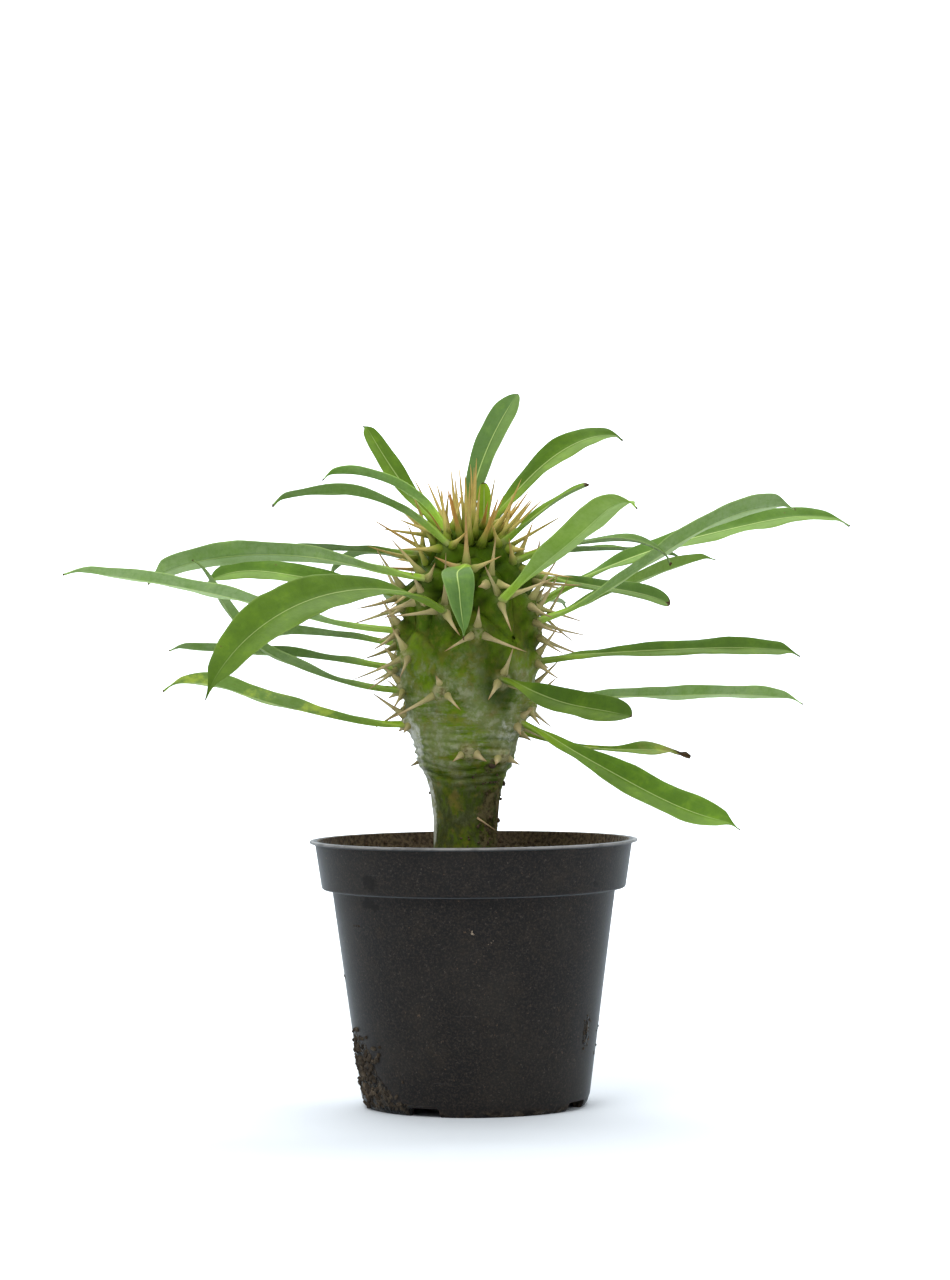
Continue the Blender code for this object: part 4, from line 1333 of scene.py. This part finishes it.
@dataclass
class Strap:
    """Builds one leaf from its row in the table."""

    leaf: Leaf
    scar: Scar
    rows: int = 72
    columns: int = 14
    sink: float = 2.0 * MM
    tubercle: float = 3.4 * MM
    stalk_thickness: float = 2.2 * MM
    stalk_width: float = 3.4 * MM
    stalk_share: float = 0.14
    tip_width: float = 0.8 * MM
    fold: float = 20
    ripple: float = 0.35 * MM
    flutter: float = 0.55 * MM
    nibble: float = 0.045
    rib_half: float = 0.75 * MM
    rib_under: float = 0.62 * MM
    rib_groove: float = 0.16 * MM
    stretches: int = 12

    def half_width(self, t: float) -> float:
        """Works out the leaf's width, from the stalk over the widest place to the tip.

        Args:
            t: the place along, from 0 to 1.

        Returns:
            Half the width there.
        """
        leaf = self.leaf
        blade = leaf.width * MM
        stalk = min(self.stalk_width, blade)
        start = self.stalk_share * 0.4
        if t < leaf.widest:
            share = ease((t - start) / (leaf.widest - start)) ** 0.8
            half = (stalk + (blade - stalk) * share) / 2
        else:
            share = 1 - ((t - leaf.widest) / (1 - leaf.widest)) ** leaf.bluntness
            half = (self.tip_width + (blade - self.tip_width) * share) / 2
        if leaf.tip is Tip.WITHERED:
            half *= 0.5 + 0.85 * bell((t - 0.76) / 0.11) + bell((t - 0.975) / 0.02)
        if leaf.tip is Tip.HOOKED:
            half *= 1 - 0.78 * ease((t - 0.925) / 0.060)
        return half

    def centre_line(self) -> list[Vector]:
        """Follows the middle of the leaf, as its solid does.

        Returns:
            Evenly spaced points from the stalk to the tip.
        """
        leaf = self.leaf
        count = self.stretches
        step = (leaf.length * MM + self.sink) / count
        spot = self.scar.middle + self.scar.out * self.tubercle
        spot -= direction(leaf.headings[0], leaf.slopes[0]) * self.sink
        points = []
        for row in range(count + 1):
            points.append(spot.copy())
            between = (row + 0.5) / count
            spot += direction(along(leaf.headings, between), along(leaf.slopes, between)) * step
        return points

    def build(self, material: bpy.types.Material) -> None:
        """Builds the leaf: a grid extruded to two sheets, which are laid above and below its middle.

        Args:
            material: the finish that all leaves share.
        """
        leaf = self.leaf
        dice = random.Random(leaf.name)
        phase = dice.uniform(0, 50)
        bm = bmesh.new()
        names = ("under", "dead", "tip_dry", "margin", "light", "low")
        under, dead, dry, margin, light, low = float_layers(bm, *names)
        strap, state = (bm.verts.layers.float_vector.new(name) for name in ("strap", "state"))
        bmesh.ops.create_grid(bm, x_segments=self.columns, y_segments=self.rows, size=1)
        upper = set(bm.verts)
        bmesh.ops.extrude_face_region(bm, geom=bm.faces[:], use_keep_orig=True)
        line = self.centre_line()
        tint = Vector((leaf.youth, leaf.sick, held(leaf.blue + dice.uniform(-0.15, 0.15))))
        for vertex in bm.verts:
            a = math.sin(vertex.co.x * math.pi / 2)
            even = (vertex.co.y + 1) / 2
            t = even - 0.10 * math.sin(2 * math.pi * even)
            below = vertex not in upper
            spot, side, up = self.frame_at(line, t)
            half = self.half_width(t)
            blade = ease((t - 0.02) / (2 * self.stalk_share - 0.02))
            fold = math.radians(self.fold) * ease(t / 0.3)
            valley = math.sqrt(a * a + 0.012) - 0.11
            wave = self.ripple * math.sin(t * leaf.length / 4 + math.copysign(1, a)) * abs(a)
            wave += self.flutter * wobble(t * leaf.length / 9 + phase, a * 1.2, phase) * abs(a) ** 1.5
            wave -= half * 0.10 * (a * a) ** 2 * blade * (0.5 + wobble(t * 4, phase, a))
            nibble = self.nibble * wobble(t * leaf.length / 5, phase + math.copysign(3, a), 0)
            out = a * half * (1 + nibble * blade) * math.cos(fold)
            place = spot + side * out + up * (valley * half * math.sin(fold) + wave)
            rim = math.sqrt(max(1 - abs(a) ** 5, 0.0))
            rib = bell(a * half / self.rib_half) * (1 - 0.75 * t)
            thin = (0.62 - 0.22 * t) * MM * (0.25 + 0.75 * rim)
            thick_stalk = self.stalk_thickness * math.sqrt(max(1 - a * a, 0.02))
            if below:
                drop = thin * 0.5 + rib * self.rib_under
                place -= up * (thick_stalk * 0.55 * (1 - blade) + drop * blade)
            else:
                raised = thin * 0.5 - rib * self.rib_groove
                place += up * (thick_stalk * 0.45 * (1 - blade) + raised * blade)
            place = self.end_shape(place, side, up, a, t, phase)
            vertex[strap] = Vector((a * half / MM, t * leaf.length, t))
            vertex[under] = float(below)
            vertex[state] = tint
            vertex[margin] = abs(a)
            # The leaf's painted light and shade.
            vertex[light] = leaf.light
            # Painted light and shade across the fold: 1 on the half that hangs lower, -1 on the upper one.
            vertex[low] = held(a * 5, -1) * held(-side.z * 3, -1) * leaf.strips
            vertex[dead] = leaf.dead * (0.55 + 0.45 * ease((t - 0.55) / 0.45))
            vertex[dry] = self.dryness(a, t, phase)
            vertex.co = place
        bmesh.ops.recalc_face_normals(bm, faces=bm.faces)
        finished(leaf.name + "_blade", bm, material, [leaf.name])

    def frame_at(self, line: Sequence[Vector], t: float) -> tuple[Vector, Vector, Vector]:
        """Reads the leaf's place and turn.

        Args:
            line: the points of its centre line.
            t: the place along, from 0 to 1.

        Returns:
            The point there, the way across and the way up.
        """
        leaf = self.leaf
        heading, slope = along(leaf.headings, t), along(leaf.slopes, t)
        roll = math.radians(leaf.roll) * ease(t / 0.35)
        side = level(heading - 90)
        up = side.cross(direction(heading, slope))
        turned_side = side * math.cos(roll) - up * math.sin(roll)
        return along(line, t), turned_side, up * math.cos(roll) + side * math.sin(roll)

    def end_shape(self, place: Vector, side: Vector, up: Vector, a: float, t: float, phase: float) -> Vector:
        """Shapes the leaf's end.

        Args:
            place: where the vertex is.
            side: the way across the leaf.
            up: the way out of its upper face.
            a: the place across, from -1 to 1.
            t: the place along, from 0 to 1.
            phase: the leaf's own shift of random patterns.

        Returns:
            The vertex's new place.
        """
        leaf = self.leaf
        forward = up.cross(side)
        end = ease((t - 0.93) / 0.07)
        if leaf.tip is Tip.HOOKED:
            return place + (forward * 0.5 - up * 0.5 - UP * 1.2) * end * end * MM
        if leaf.tip is Tip.NOTCHED:
            bite = bell((a - 0.2) / 0.3) * ease((t - 0.90) / 0.10)
            return place - forward * bite * 1.6 * MM
        if leaf.tip is Tip.CUT:
            return place + forward * end * wobble(a * 3, phase, 0) * 0.8 * MM
        if leaf.tip is Tip.WITHERED:
            curl = ease((t - 0.80) / 0.20)
            crumple = wobble(t * 22, a * 2, phase) * 0.7 * MM * curl
            return place + up * crumple - up * curl * curl * 1.1 * MM
        return place

    def dryness(self, a: float, t: float, phase: float) -> float:
        """Works out how brown and dry the leaf is near its end.

        Args:
            a: the place across, from -1 to 1.
            t: the place along, from 0 to 1.
            phase: the leaf's own shift of random patterns.

        Returns:
            The dryness there, from 0 to 1.
        """
        start, unevenness, reach = DRY_ENDS[self.leaf.tip]
        uneven = wobble(a * 2, t * 30, phase) * unevenness
        return ease(start + uneven - (1 - t) * self.leaf.length / reach)


@dataclass
class NurseryPot:
    """The moulded pot: a tapered body, a deep band under a fine lip, and a notched foot ring."""

    steps: int = 160
    height: float = 86 * MM
    lip: float = 53.2 * MM
    lip_depth: float = 0.8 * MM
    band_top: float = 51.4 * MM
    band_foot: float = 49.3 * MM
    band_height: float = 15.7 * MM
    body_top: float = 45.9 * MM
    body_foot: float = 37.1 * MM
    foot_outer: float = 35.4 * MM
    foot_inner: float = 32.8 * MM
    corner: float = 3.8 * MM
    wall: float = 1.3 * MM
    floor_rise: float = 3.0 * MM
    floor_top: float = 4.5 * MM
    notch_headings: tuple = (243, 333, 63, 153)
    notch_width: float = 11 * MM
    notch_height: float = 2.8 * MM
    drain_radius: float = 3.5 * MM
    drain_reach: float = 24 * MM
    unevenness: float = 0.0035
    corner_rounding: float = 0.35 * MM
    wall_cuts: int = 40
    sharp_angle: float = 40
    mud_patches: tuple = (
        (202, 13, 12, 9, 0.95), (212, 5, 13, 6, 0.9), (232, 2, 18, 2.4, 0.7), (196, 22, 5, 4, 0.6),
        (332, 25, 3.5, 5, 0.65), (110, 10, 20, 10, 0.6),
    )

    def profile(self) -> Outline:
        """Draws the pot's profile: floor, inner wall, lip, outer side, foot and underside.

        Returns:
            (radius, height) points with rounded corners.
        """
        ledge = self.height - self.band_height
        inner = [
            (0, self.floor_top),
            (self.body_foot - self.wall - 0.5 * MM, self.floor_top),
            (self.body_top - self.wall, ledge),
            (self.band_foot - self.wall, ledge + self.wall),
            (self.band_top - self.wall, self.height - self.lip_depth),
            (self.band_top - self.wall, self.height),
        ]
        outer = [
            (self.lip, self.height),
            (self.lip, self.height - self.lip_depth),
            (self.band_top, self.height - self.lip_depth - 0.3 * MM),
            (self.band_foot, ledge + 0.4 * MM),
            (self.band_foot - 0.5 * MM, ledge),
            (self.body_top, ledge - 0.5 * MM),
            (self.body_foot, self.corner),
            (self.body_foot - 0.8 * MM, self.corner * 0.35),
            (self.foot_outer, 0),
            (self.foot_inner, 0),
            (self.foot_inner - 0.3 * MM, self.floor_rise),
            (0, self.floor_rise),
        ]
        return rounded([*inner, *outer], self.corner_rounding)

    def build(self, finish: PlasticFinish) -> None:
        """Builds the pot and cuts its notches and drain holes.

        Args:
            finish: the plastic.
        """
        bm = bmesh.new()
        lathe(bm, self.profile(), self.steps)
        tall = [edge for edge in bm.edges if abs(edge.verts[0].co.z - edge.verts[1].co.z) > 30 * MM]
        bmesh.ops.subdivide_edges(bm, edges=tall, cuts=self.wall_cuts, use_grid_fill=True)
        (mud,) = float_layers(bm, "mud")
        for vertex in bm.verts:
            out = Vector((vertex.co.x, vertex.co.y, 0))
            vertex.co += out * noise.noise(vertex.co * 14) * self.unevenness
            vertex[mud] = self.mud_at(vertex.co)
        blank = placed("pot_blank", bm)
        cutters = [self.notch(heading) for heading in self.notch_headings]
        cutters += [self.drain(heading + 45) for heading in self.notch_headings]
        for cutter in cutters:
            cut = blank.modifiers.new(cutter.name, "BOOLEAN")
            cut.operation = "DIFFERENCE"
            cut.solver = "EXACT"
            cut.object = cutter
        bpy.context.view_layer.update()
        shaped = bpy.data.meshes.new_from_object(blank.evaluated_get(bpy.context.evaluated_depsgraph_get()))
        bm = bmesh.new()
        bm.from_mesh(shaped)
        for old in [blank, *cutters]:
            bpy.data.objects.remove(old)
        bpy.data.meshes.remove(shaped)
        piece = finished("nursery_pot", bm, finish.material(), ["pot"])
        piece.data.set_sharp_from_angle(angle=math.radians(self.sharp_angle))

    def mud_at(self, spot: Vector) -> float:
        """How thickly dried mud covers a point of the pot's outside, from 0 to 1."""
        outside = math.hypot(spot.x, spot.y) > self.body_foot - 3 * MM
        return patches_at(spot, self.mud_patches, 1.5) if outside else 0.0

    def notch(self, heading: float) -> bpy.types.Object:
        """Makes a cutter for one notch in the foot ring.

        Args:
            heading: where the notch is.

        Returns:
            The cutter.
        """
        bm = bmesh.new()
        bmesh.ops.create_cube(bm, size=1)
        bmesh.ops.scale(bm, vec=(12 * MM, self.notch_width, 2 * self.notch_height), verts=bm.verts)
        level_edges = [edge for edge in bm.edges if abs(edge.verts[0].co.x - edge.verts[1].co.x) > 1 * MM]
        round_edges(bm, level_edges, 0.8 * MM, 3)
        reach = (self.foot_outer + self.foot_inner) / 2
        matrix = Matrix.Translation(level(heading) * reach) @ Matrix.Rotation(math.radians(heading), 4, "Z")
        bmesh.ops.transform(bm, matrix=matrix, verts=bm.verts)
        return placed("notch", bm)

    def drain(self, heading: float) -> bpy.types.Object:
        """Makes a cutter for one drain hole in the floor.

        Args:
            heading: where the hole is.

        Returns:
            The cutter.
        """
        bm = bmesh.new()
        radius = self.drain_radius
        bmesh.ops.create_cone(bm, cap_ends=True, segments=32, radius1=radius, radius2=radius, depth=6 * MM)
        bmesh.ops.translate(bm, verts=bm.verts, vec=level(heading) * self.drain_reach + UP * self.floor_top)
        return placed("drain", bm)

    def outer_radius(self, height: float) -> float:
        """The radius of the pot's outer side below its band at a height."""
        share = (height - self.corner) / (self.height - self.band_height - 0.5 * MM - self.corner)
        return self.body_foot + (self.body_top - self.body_foot) * share


@dataclass
class Bedding:
    """The soil in the pot, with the crumbs, straw and dried mud that lie on it and on its neighbours."""

    trunk: Trunk
    pot: NurseryPot
    steps: int = 144
    rings: int = 46
    gap: float = 0.3 * MM
    hole: float = 10.7 * MM
    hole_foot: float = 51.7 * MM
    crumb_seed: int = 29
    soil_crumbs: int = 420
    wall_crumbs: int = 150
    stem_crumbs: int = 90
    stem_lumps: tuple = ((352, 104, 1.6), (356, 99, 1.3), (349, 92, 1.5), (172, 101, 1.3), (303, 110.5, 2.4))
    mud_heaps: tuple = (
        (203, 12, 6.5, 6.5, 110, 3.0), (192, 14, 3.5, 6, 34, 2.8), (211, 5, 8, 3, 60, 2.4),
        (230, 3.0, 9, 1.0, 30, 1.1), (194, 23, 4, 2.5, 16, 1.2), (333, 25, 2, 4, 26, 1.2),
        (352, 22, 4, 5, 12, 1.3), (188, 43, 1, 1, 3, 1.6), (214, 66, 1.5, 1, 5, 1.2),
    )
    mud_range: tuple = (1.9, 60)
    straw_mm: tuple = (
        ((1.2, -9.9, 93.4), (7.0, -6.6, 89.2), 0.34), ((-22, -14, 80.4), (-14, -20, 80.6), 0.4),
        ((18, 20, 80.3), (27, 14, 80.5), 0.45), ((14, -22, 80.4), (22, -27, 80.3), 0.35),
    )

    def edge(self) -> float:
        """Works out how far the soil reaches.

        Returns:
            The radius of its top.
        """
        pot = self.pot
        slope = (pot.band_top - pot.band_foot) / pot.band_height
        climb = SOIL_LEVEL - pot.height + pot.band_height - pot.wall
        return pot.band_foot - pot.wall - self.gap + climb * slope - 0.1 * MM

    def top_at(self, spot: Vector) -> float:
        """Works out the soil's unevenness.

        Args:
            spot: a place on its top.

        Returns:
            How far the top stands above its level there.
        """
        low = 1.1 * MM * noise.noise(Vector((spot.x, spot.y, SOIL_LEVEL)) * 90)
        fine = 0.55 * MM * noise.noise(spot * 320) + 0.30 * MM * noise.noise(spot * 760)
        stem = (Vector((spot.x, spot.y, 0)) - self.trunk.shift(0)).length
        return low + fine + 0.9 * MM * ease(1.6 - (stem - self.hole) / (5 * MM))

    def build(self, finish: SoilFinish) -> None:
        """Builds the soil as one closed plug with the stem's hole in it.

        Args:
            finish: the soil's finish.
        """
        pot, edge = self.pot, self.edge()
        inner = self.hole - 0.25 * MM
        reaches = [inner + (edge - inner) * ring / self.rings for ring in range(self.rings + 1)]
        top = [(reach, SOIL_LEVEL) for reach in reaches]
        ledge = pot.height - pot.band_height
        side = [
            (edge, SOIL_LEVEL - 1.5 * MM),
            (pot.band_foot - pot.wall - self.gap, ledge + pot.wall),
            (pot.body_top - pot.wall - self.gap, ledge),
            (pot.body_foot - pot.wall - 0.5 * MM - self.gap, pot.floor_top + self.gap),
        ]
        bm = bmesh.new()
        lathe(bm, [(0, self.hole_foot), (inner, self.hole_foot), *top, *side, (0, side[-1][1])], self.steps)
        for vertex in bm.verts:
            reach = math.hypot(vertex.co.x, vertex.co.y)
            if vertex.co.z > self.hole_foot - 1 * MM and reach < edge - 0.01 * MM:
                share = held((reach - inner) / (edge - inner))
                vertex.co += self.trunk.shift(0) * (1 - share)
            if vertex.co.z > SOIL_LEVEL - 1 * MM:
                rim = ease((edge - reach) / (1.2 * MM))
                vertex.co.z += self.top_at(vertex.co) * (0.35 + 0.65 * rim)
        finished("soil_plug", bm, finish.material(), ["soil"])
        self.crumbs(finish)

    def crumbs(self, finish: SoilFinish) -> None:
        """Scatters crumbs over the soil, the rim, the stem's foot and the pot's side.

        Args:
            finish: the soil's finish.
        """
        dice = random.Random(self.crumb_seed)
        places = []
        for _ in range(self.soil_crumbs):
            reach = math.sqrt(dice.uniform(0.06, 0.95)) * self.edge()
            spot = level(dice.uniform(0, 360)) * reach
            if (spot - self.trunk.shift(0)).length < self.hole + 0.3 * MM:
                continue
            size = dice.uniform(0.6, 1.5) ** 2 * MM
            spot.z = SOIL_LEVEL + self.top_at(spot + UP * SOIL_LEVEL)
            places.append((spot + UP * size * 0.15, UP, size))
        for _ in range(self.wall_crumbs):
            out = level(dice.uniform(0, 360))
            reach = self.pot.band_foot - self.pot.wall - 0.1 * MM
            height = SOIL_LEVEL + dice.uniform(0, 4.5) * MM
            reach += (height - self.pot.height + self.pot.band_height) * BAND_SLOPE
            places.append((out * reach + UP * height, -1 * out, dice.uniform(0.5, 1.5) * MM))
        crumb_piece("soil_crumbs", places, dice, finish.material())
        self.stem_dirt(finish, dice)
        self.pot_mud(dice)

    def stem_dirt(self, finish: SoilFinish, dice: random.Random) -> None:
        """Makes the crumbs that stick to the stem's foot, most of them on its right.

        Args:
            finish: the soil's finish.
            dice: the source of their places.
        """
        places = []
        for _ in range(self.stem_crumbs):
            heading = dice.gauss(318, 30)
            height = (80 + 30 * dice.random() ** 1.4) * MM
            spot, out = self.trunk.side_at(heading, height, -0.05 * MM)
            places.append((spot, out, dice.uniform(0.35, 1.15) * MM))
        for heading, height, size in self.stem_lumps:
            places.append((*self.trunk.side_at(heading, height * MM, 0.2 * MM), size * MM))
        crumb_piece("stem_crumbs", places, dice, finish.material())

    def pot_mud(self, dice: random.Random) -> None:
        """Makes the dried mud that sticks to the pot's lower left and right.

        Args:
            dice: the source of its places.
        """
        places = []
        for heading, height, spread_h, spread_z, count, size in self.mud_heaps:
            for _ in range(count):
                z = held(dice.gauss(height, spread_z), *self.mud_range) * MM
                turn = dice.gauss(heading, spread_h)
                out = level(turn)
                if abs(turn - self.pot.notch_headings[0]) < 10 and z < 3.6 * MM:
                    continue
                radius = self.pot.outer_radius(max(z, self.pot.corner))
                if z < self.pot.corner:
                    radius -= (self.pot.corner - z) * 0.6
                places.append((out * radius + UP * z, out, dice.uniform(0.35, 1.0) * size * MM))
        mud = SoilFinish("dried_mud", (0.012, 0.009, 0.006), (0.046, 0.034, 0.022), (0.150, 0.118, 0.080))
        crumb_piece("pot_mud", places, dice, mud.material())

    def straw(self, finish: StrawFinish) -> None:
        """A bit of straw that lies against the stem's foot.

        Args:
            finish: the straw's finish.
        """
        bm = bmesh.new()
        for start, end, thick in self.straw_mm:
            way = (Vector(end) - Vector(start)) * MM
            middle = Matrix.Translation((Vector(start) + Vector(end)) * MM / 2)
            matrix = middle @ way.to_track_quat("Z", "Y").to_matrix().to_4x4()
            ends = {"radius1": thick * MM, "radius2": thick * 0.55 * MM, "depth": way.length}
            bmesh.ops.create_cone(bm, cap_ends=True, segments=8, matrix=matrix, **ends)
        finished("straw", bm, finish.material())


@dataclass
class Studio:
    """The pale floor, the soft lights and the camera."""

    distance: float = 1.2
    height: float = 0.1506
    aim_x: float = 0.001
    lens: float = 104
    roll: float = -0.45
    sensor: float = 36
    clips: tuple = (0.05, 50)
    sky: tuple = (0.96, 0.98, 1.0, 1)
    sky_strength: float = 0.47
    floor_half: float = 4
    sweep_rise: float = 5
    sweep_radius: float = 2.0
    lamps: tuple = (
        ("key", (-0.55, -0.95, 1.35), (0, 0, 0.13), 0.9, 17.0),
        ("fill", (1.15, -0.75, 0.85), (0, 0, 0.12), 1.0, 4.0),
        ("top", (0.1, 0.35, 1.6), (0, 0, 0.1), 1.2, 11.0),
        ("backdrop", (0, 1.6, 2.6), (0, 3.8, 0.6), 2.6, 230.0),
    )

    def build(self) -> None:
        """Builds the backdrop, the lights, the surroundings and the camera."""
        self.backdrop()
        for lamp in self.lamps:
            self.lamp(*lamp)
        world = bpy.data.worlds.new("studio")
        bpy.context.scene.world = world
        world.use_nodes = True
        shade = world.node_tree.nodes["Background"]
        shade.inputs["Color"].default_value = self.sky
        shade.inputs["Strength"].default_value = self.sky_strength
        view = bpy.context.scene.view_settings
        view.view_transform = "Standard"
        view.look = "None"
        data = bpy.data.cameras.new("camera")
        data.lens = self.lens
        data.sensor_width = self.sensor
        data.clip_start, data.clip_end = self.clips
        camera = bpy.data.objects.new("camera", data)
        bpy.context.scene.collection.objects.link(camera)
        tilt = Matrix.Rotation(math.radians(90), 4, "X") @ Matrix.Rotation(math.radians(self.roll), 4, "Z")
        camera.matrix_world = Matrix.Translation((self.aim_x, -self.distance, self.height)) @ tilt
        bpy.context.scene.camera = camera

    def backdrop(self) -> None:
        """A paper sweep: a wide floor that curves up far behind the pot."""
        bm = bmesh.new()
        bmesh.ops.create_grid(bm, x_segments=1, y_segments=1, size=self.floor_half)
        far = self.floor_half - 0.1
        back = [edge for edge in bm.edges if all(vertex.co.y > far for vertex in edge.verts)]
        made = bmesh.ops.extrude_edge_only(bm, edges=back)["geom"]
        raised = [item for item in made if isinstance(item, bmesh.types.BMVert)]
        bmesh.ops.translate(bm, verts=raised, vec=UP * self.sweep_rise)
        level_ones = [edge for edge in bm.edges if all(vertex.co.z < 0.1 for vertex in edge.verts)]
        bend = [edge for edge in level_ones if all(vertex.co.y > far for vertex in edge.verts)]
        round_edges(bm, bend, self.sweep_radius, 24)
        floor = placed("paper_sweep", bm, FloorFinish().material())

    def lamp(self, name: str, place: tuple, aim: tuple, size: float, power: float) -> None:
        """Adds a square soft light.

        Args:
            name: its name.
            place: where it is.
            aim: the point that it shines at.
            size: its side.
            power: its power in watts.
        """
        data = bpy.data.lights.new(name, "AREA")
        data.shape = "SQUARE"
        data.size = size
        data.energy = power
        lamp = bpy.data.objects.new(name, data)
        bpy.context.scene.collection.objects.link(lamp)
        lamp.location = place
        lamp.rotation_euler = (Vector(aim) - Vector(place)).to_track_quat("-Z", "Y").to_euler()


def main() -> None:
    """Builds the plant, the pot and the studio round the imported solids."""
    logging.basicConfig(level=logging.INFO, format="%(message)s")
    for old in list(bpy.data.objects):
        bpy.data.objects.remove(old)
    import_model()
    trunk = Trunk()
    trunk.build(SkinFinish(), SpineFinish())
    blade = LeafFinish().material()
    for leaf, scar in zip(LEAVES, trunk.leaf_scars):
        Strap(leaf, scar).build(blade)
    pot = NurseryPot()
    pot.build(PlasticFinish())
    bedding = Bedding(trunk, pot)
    bedding.build(SoilFinish())
    bedding.straw(StrawFinish())
    Studio().build()


if __name__ == "__main__":
    main()
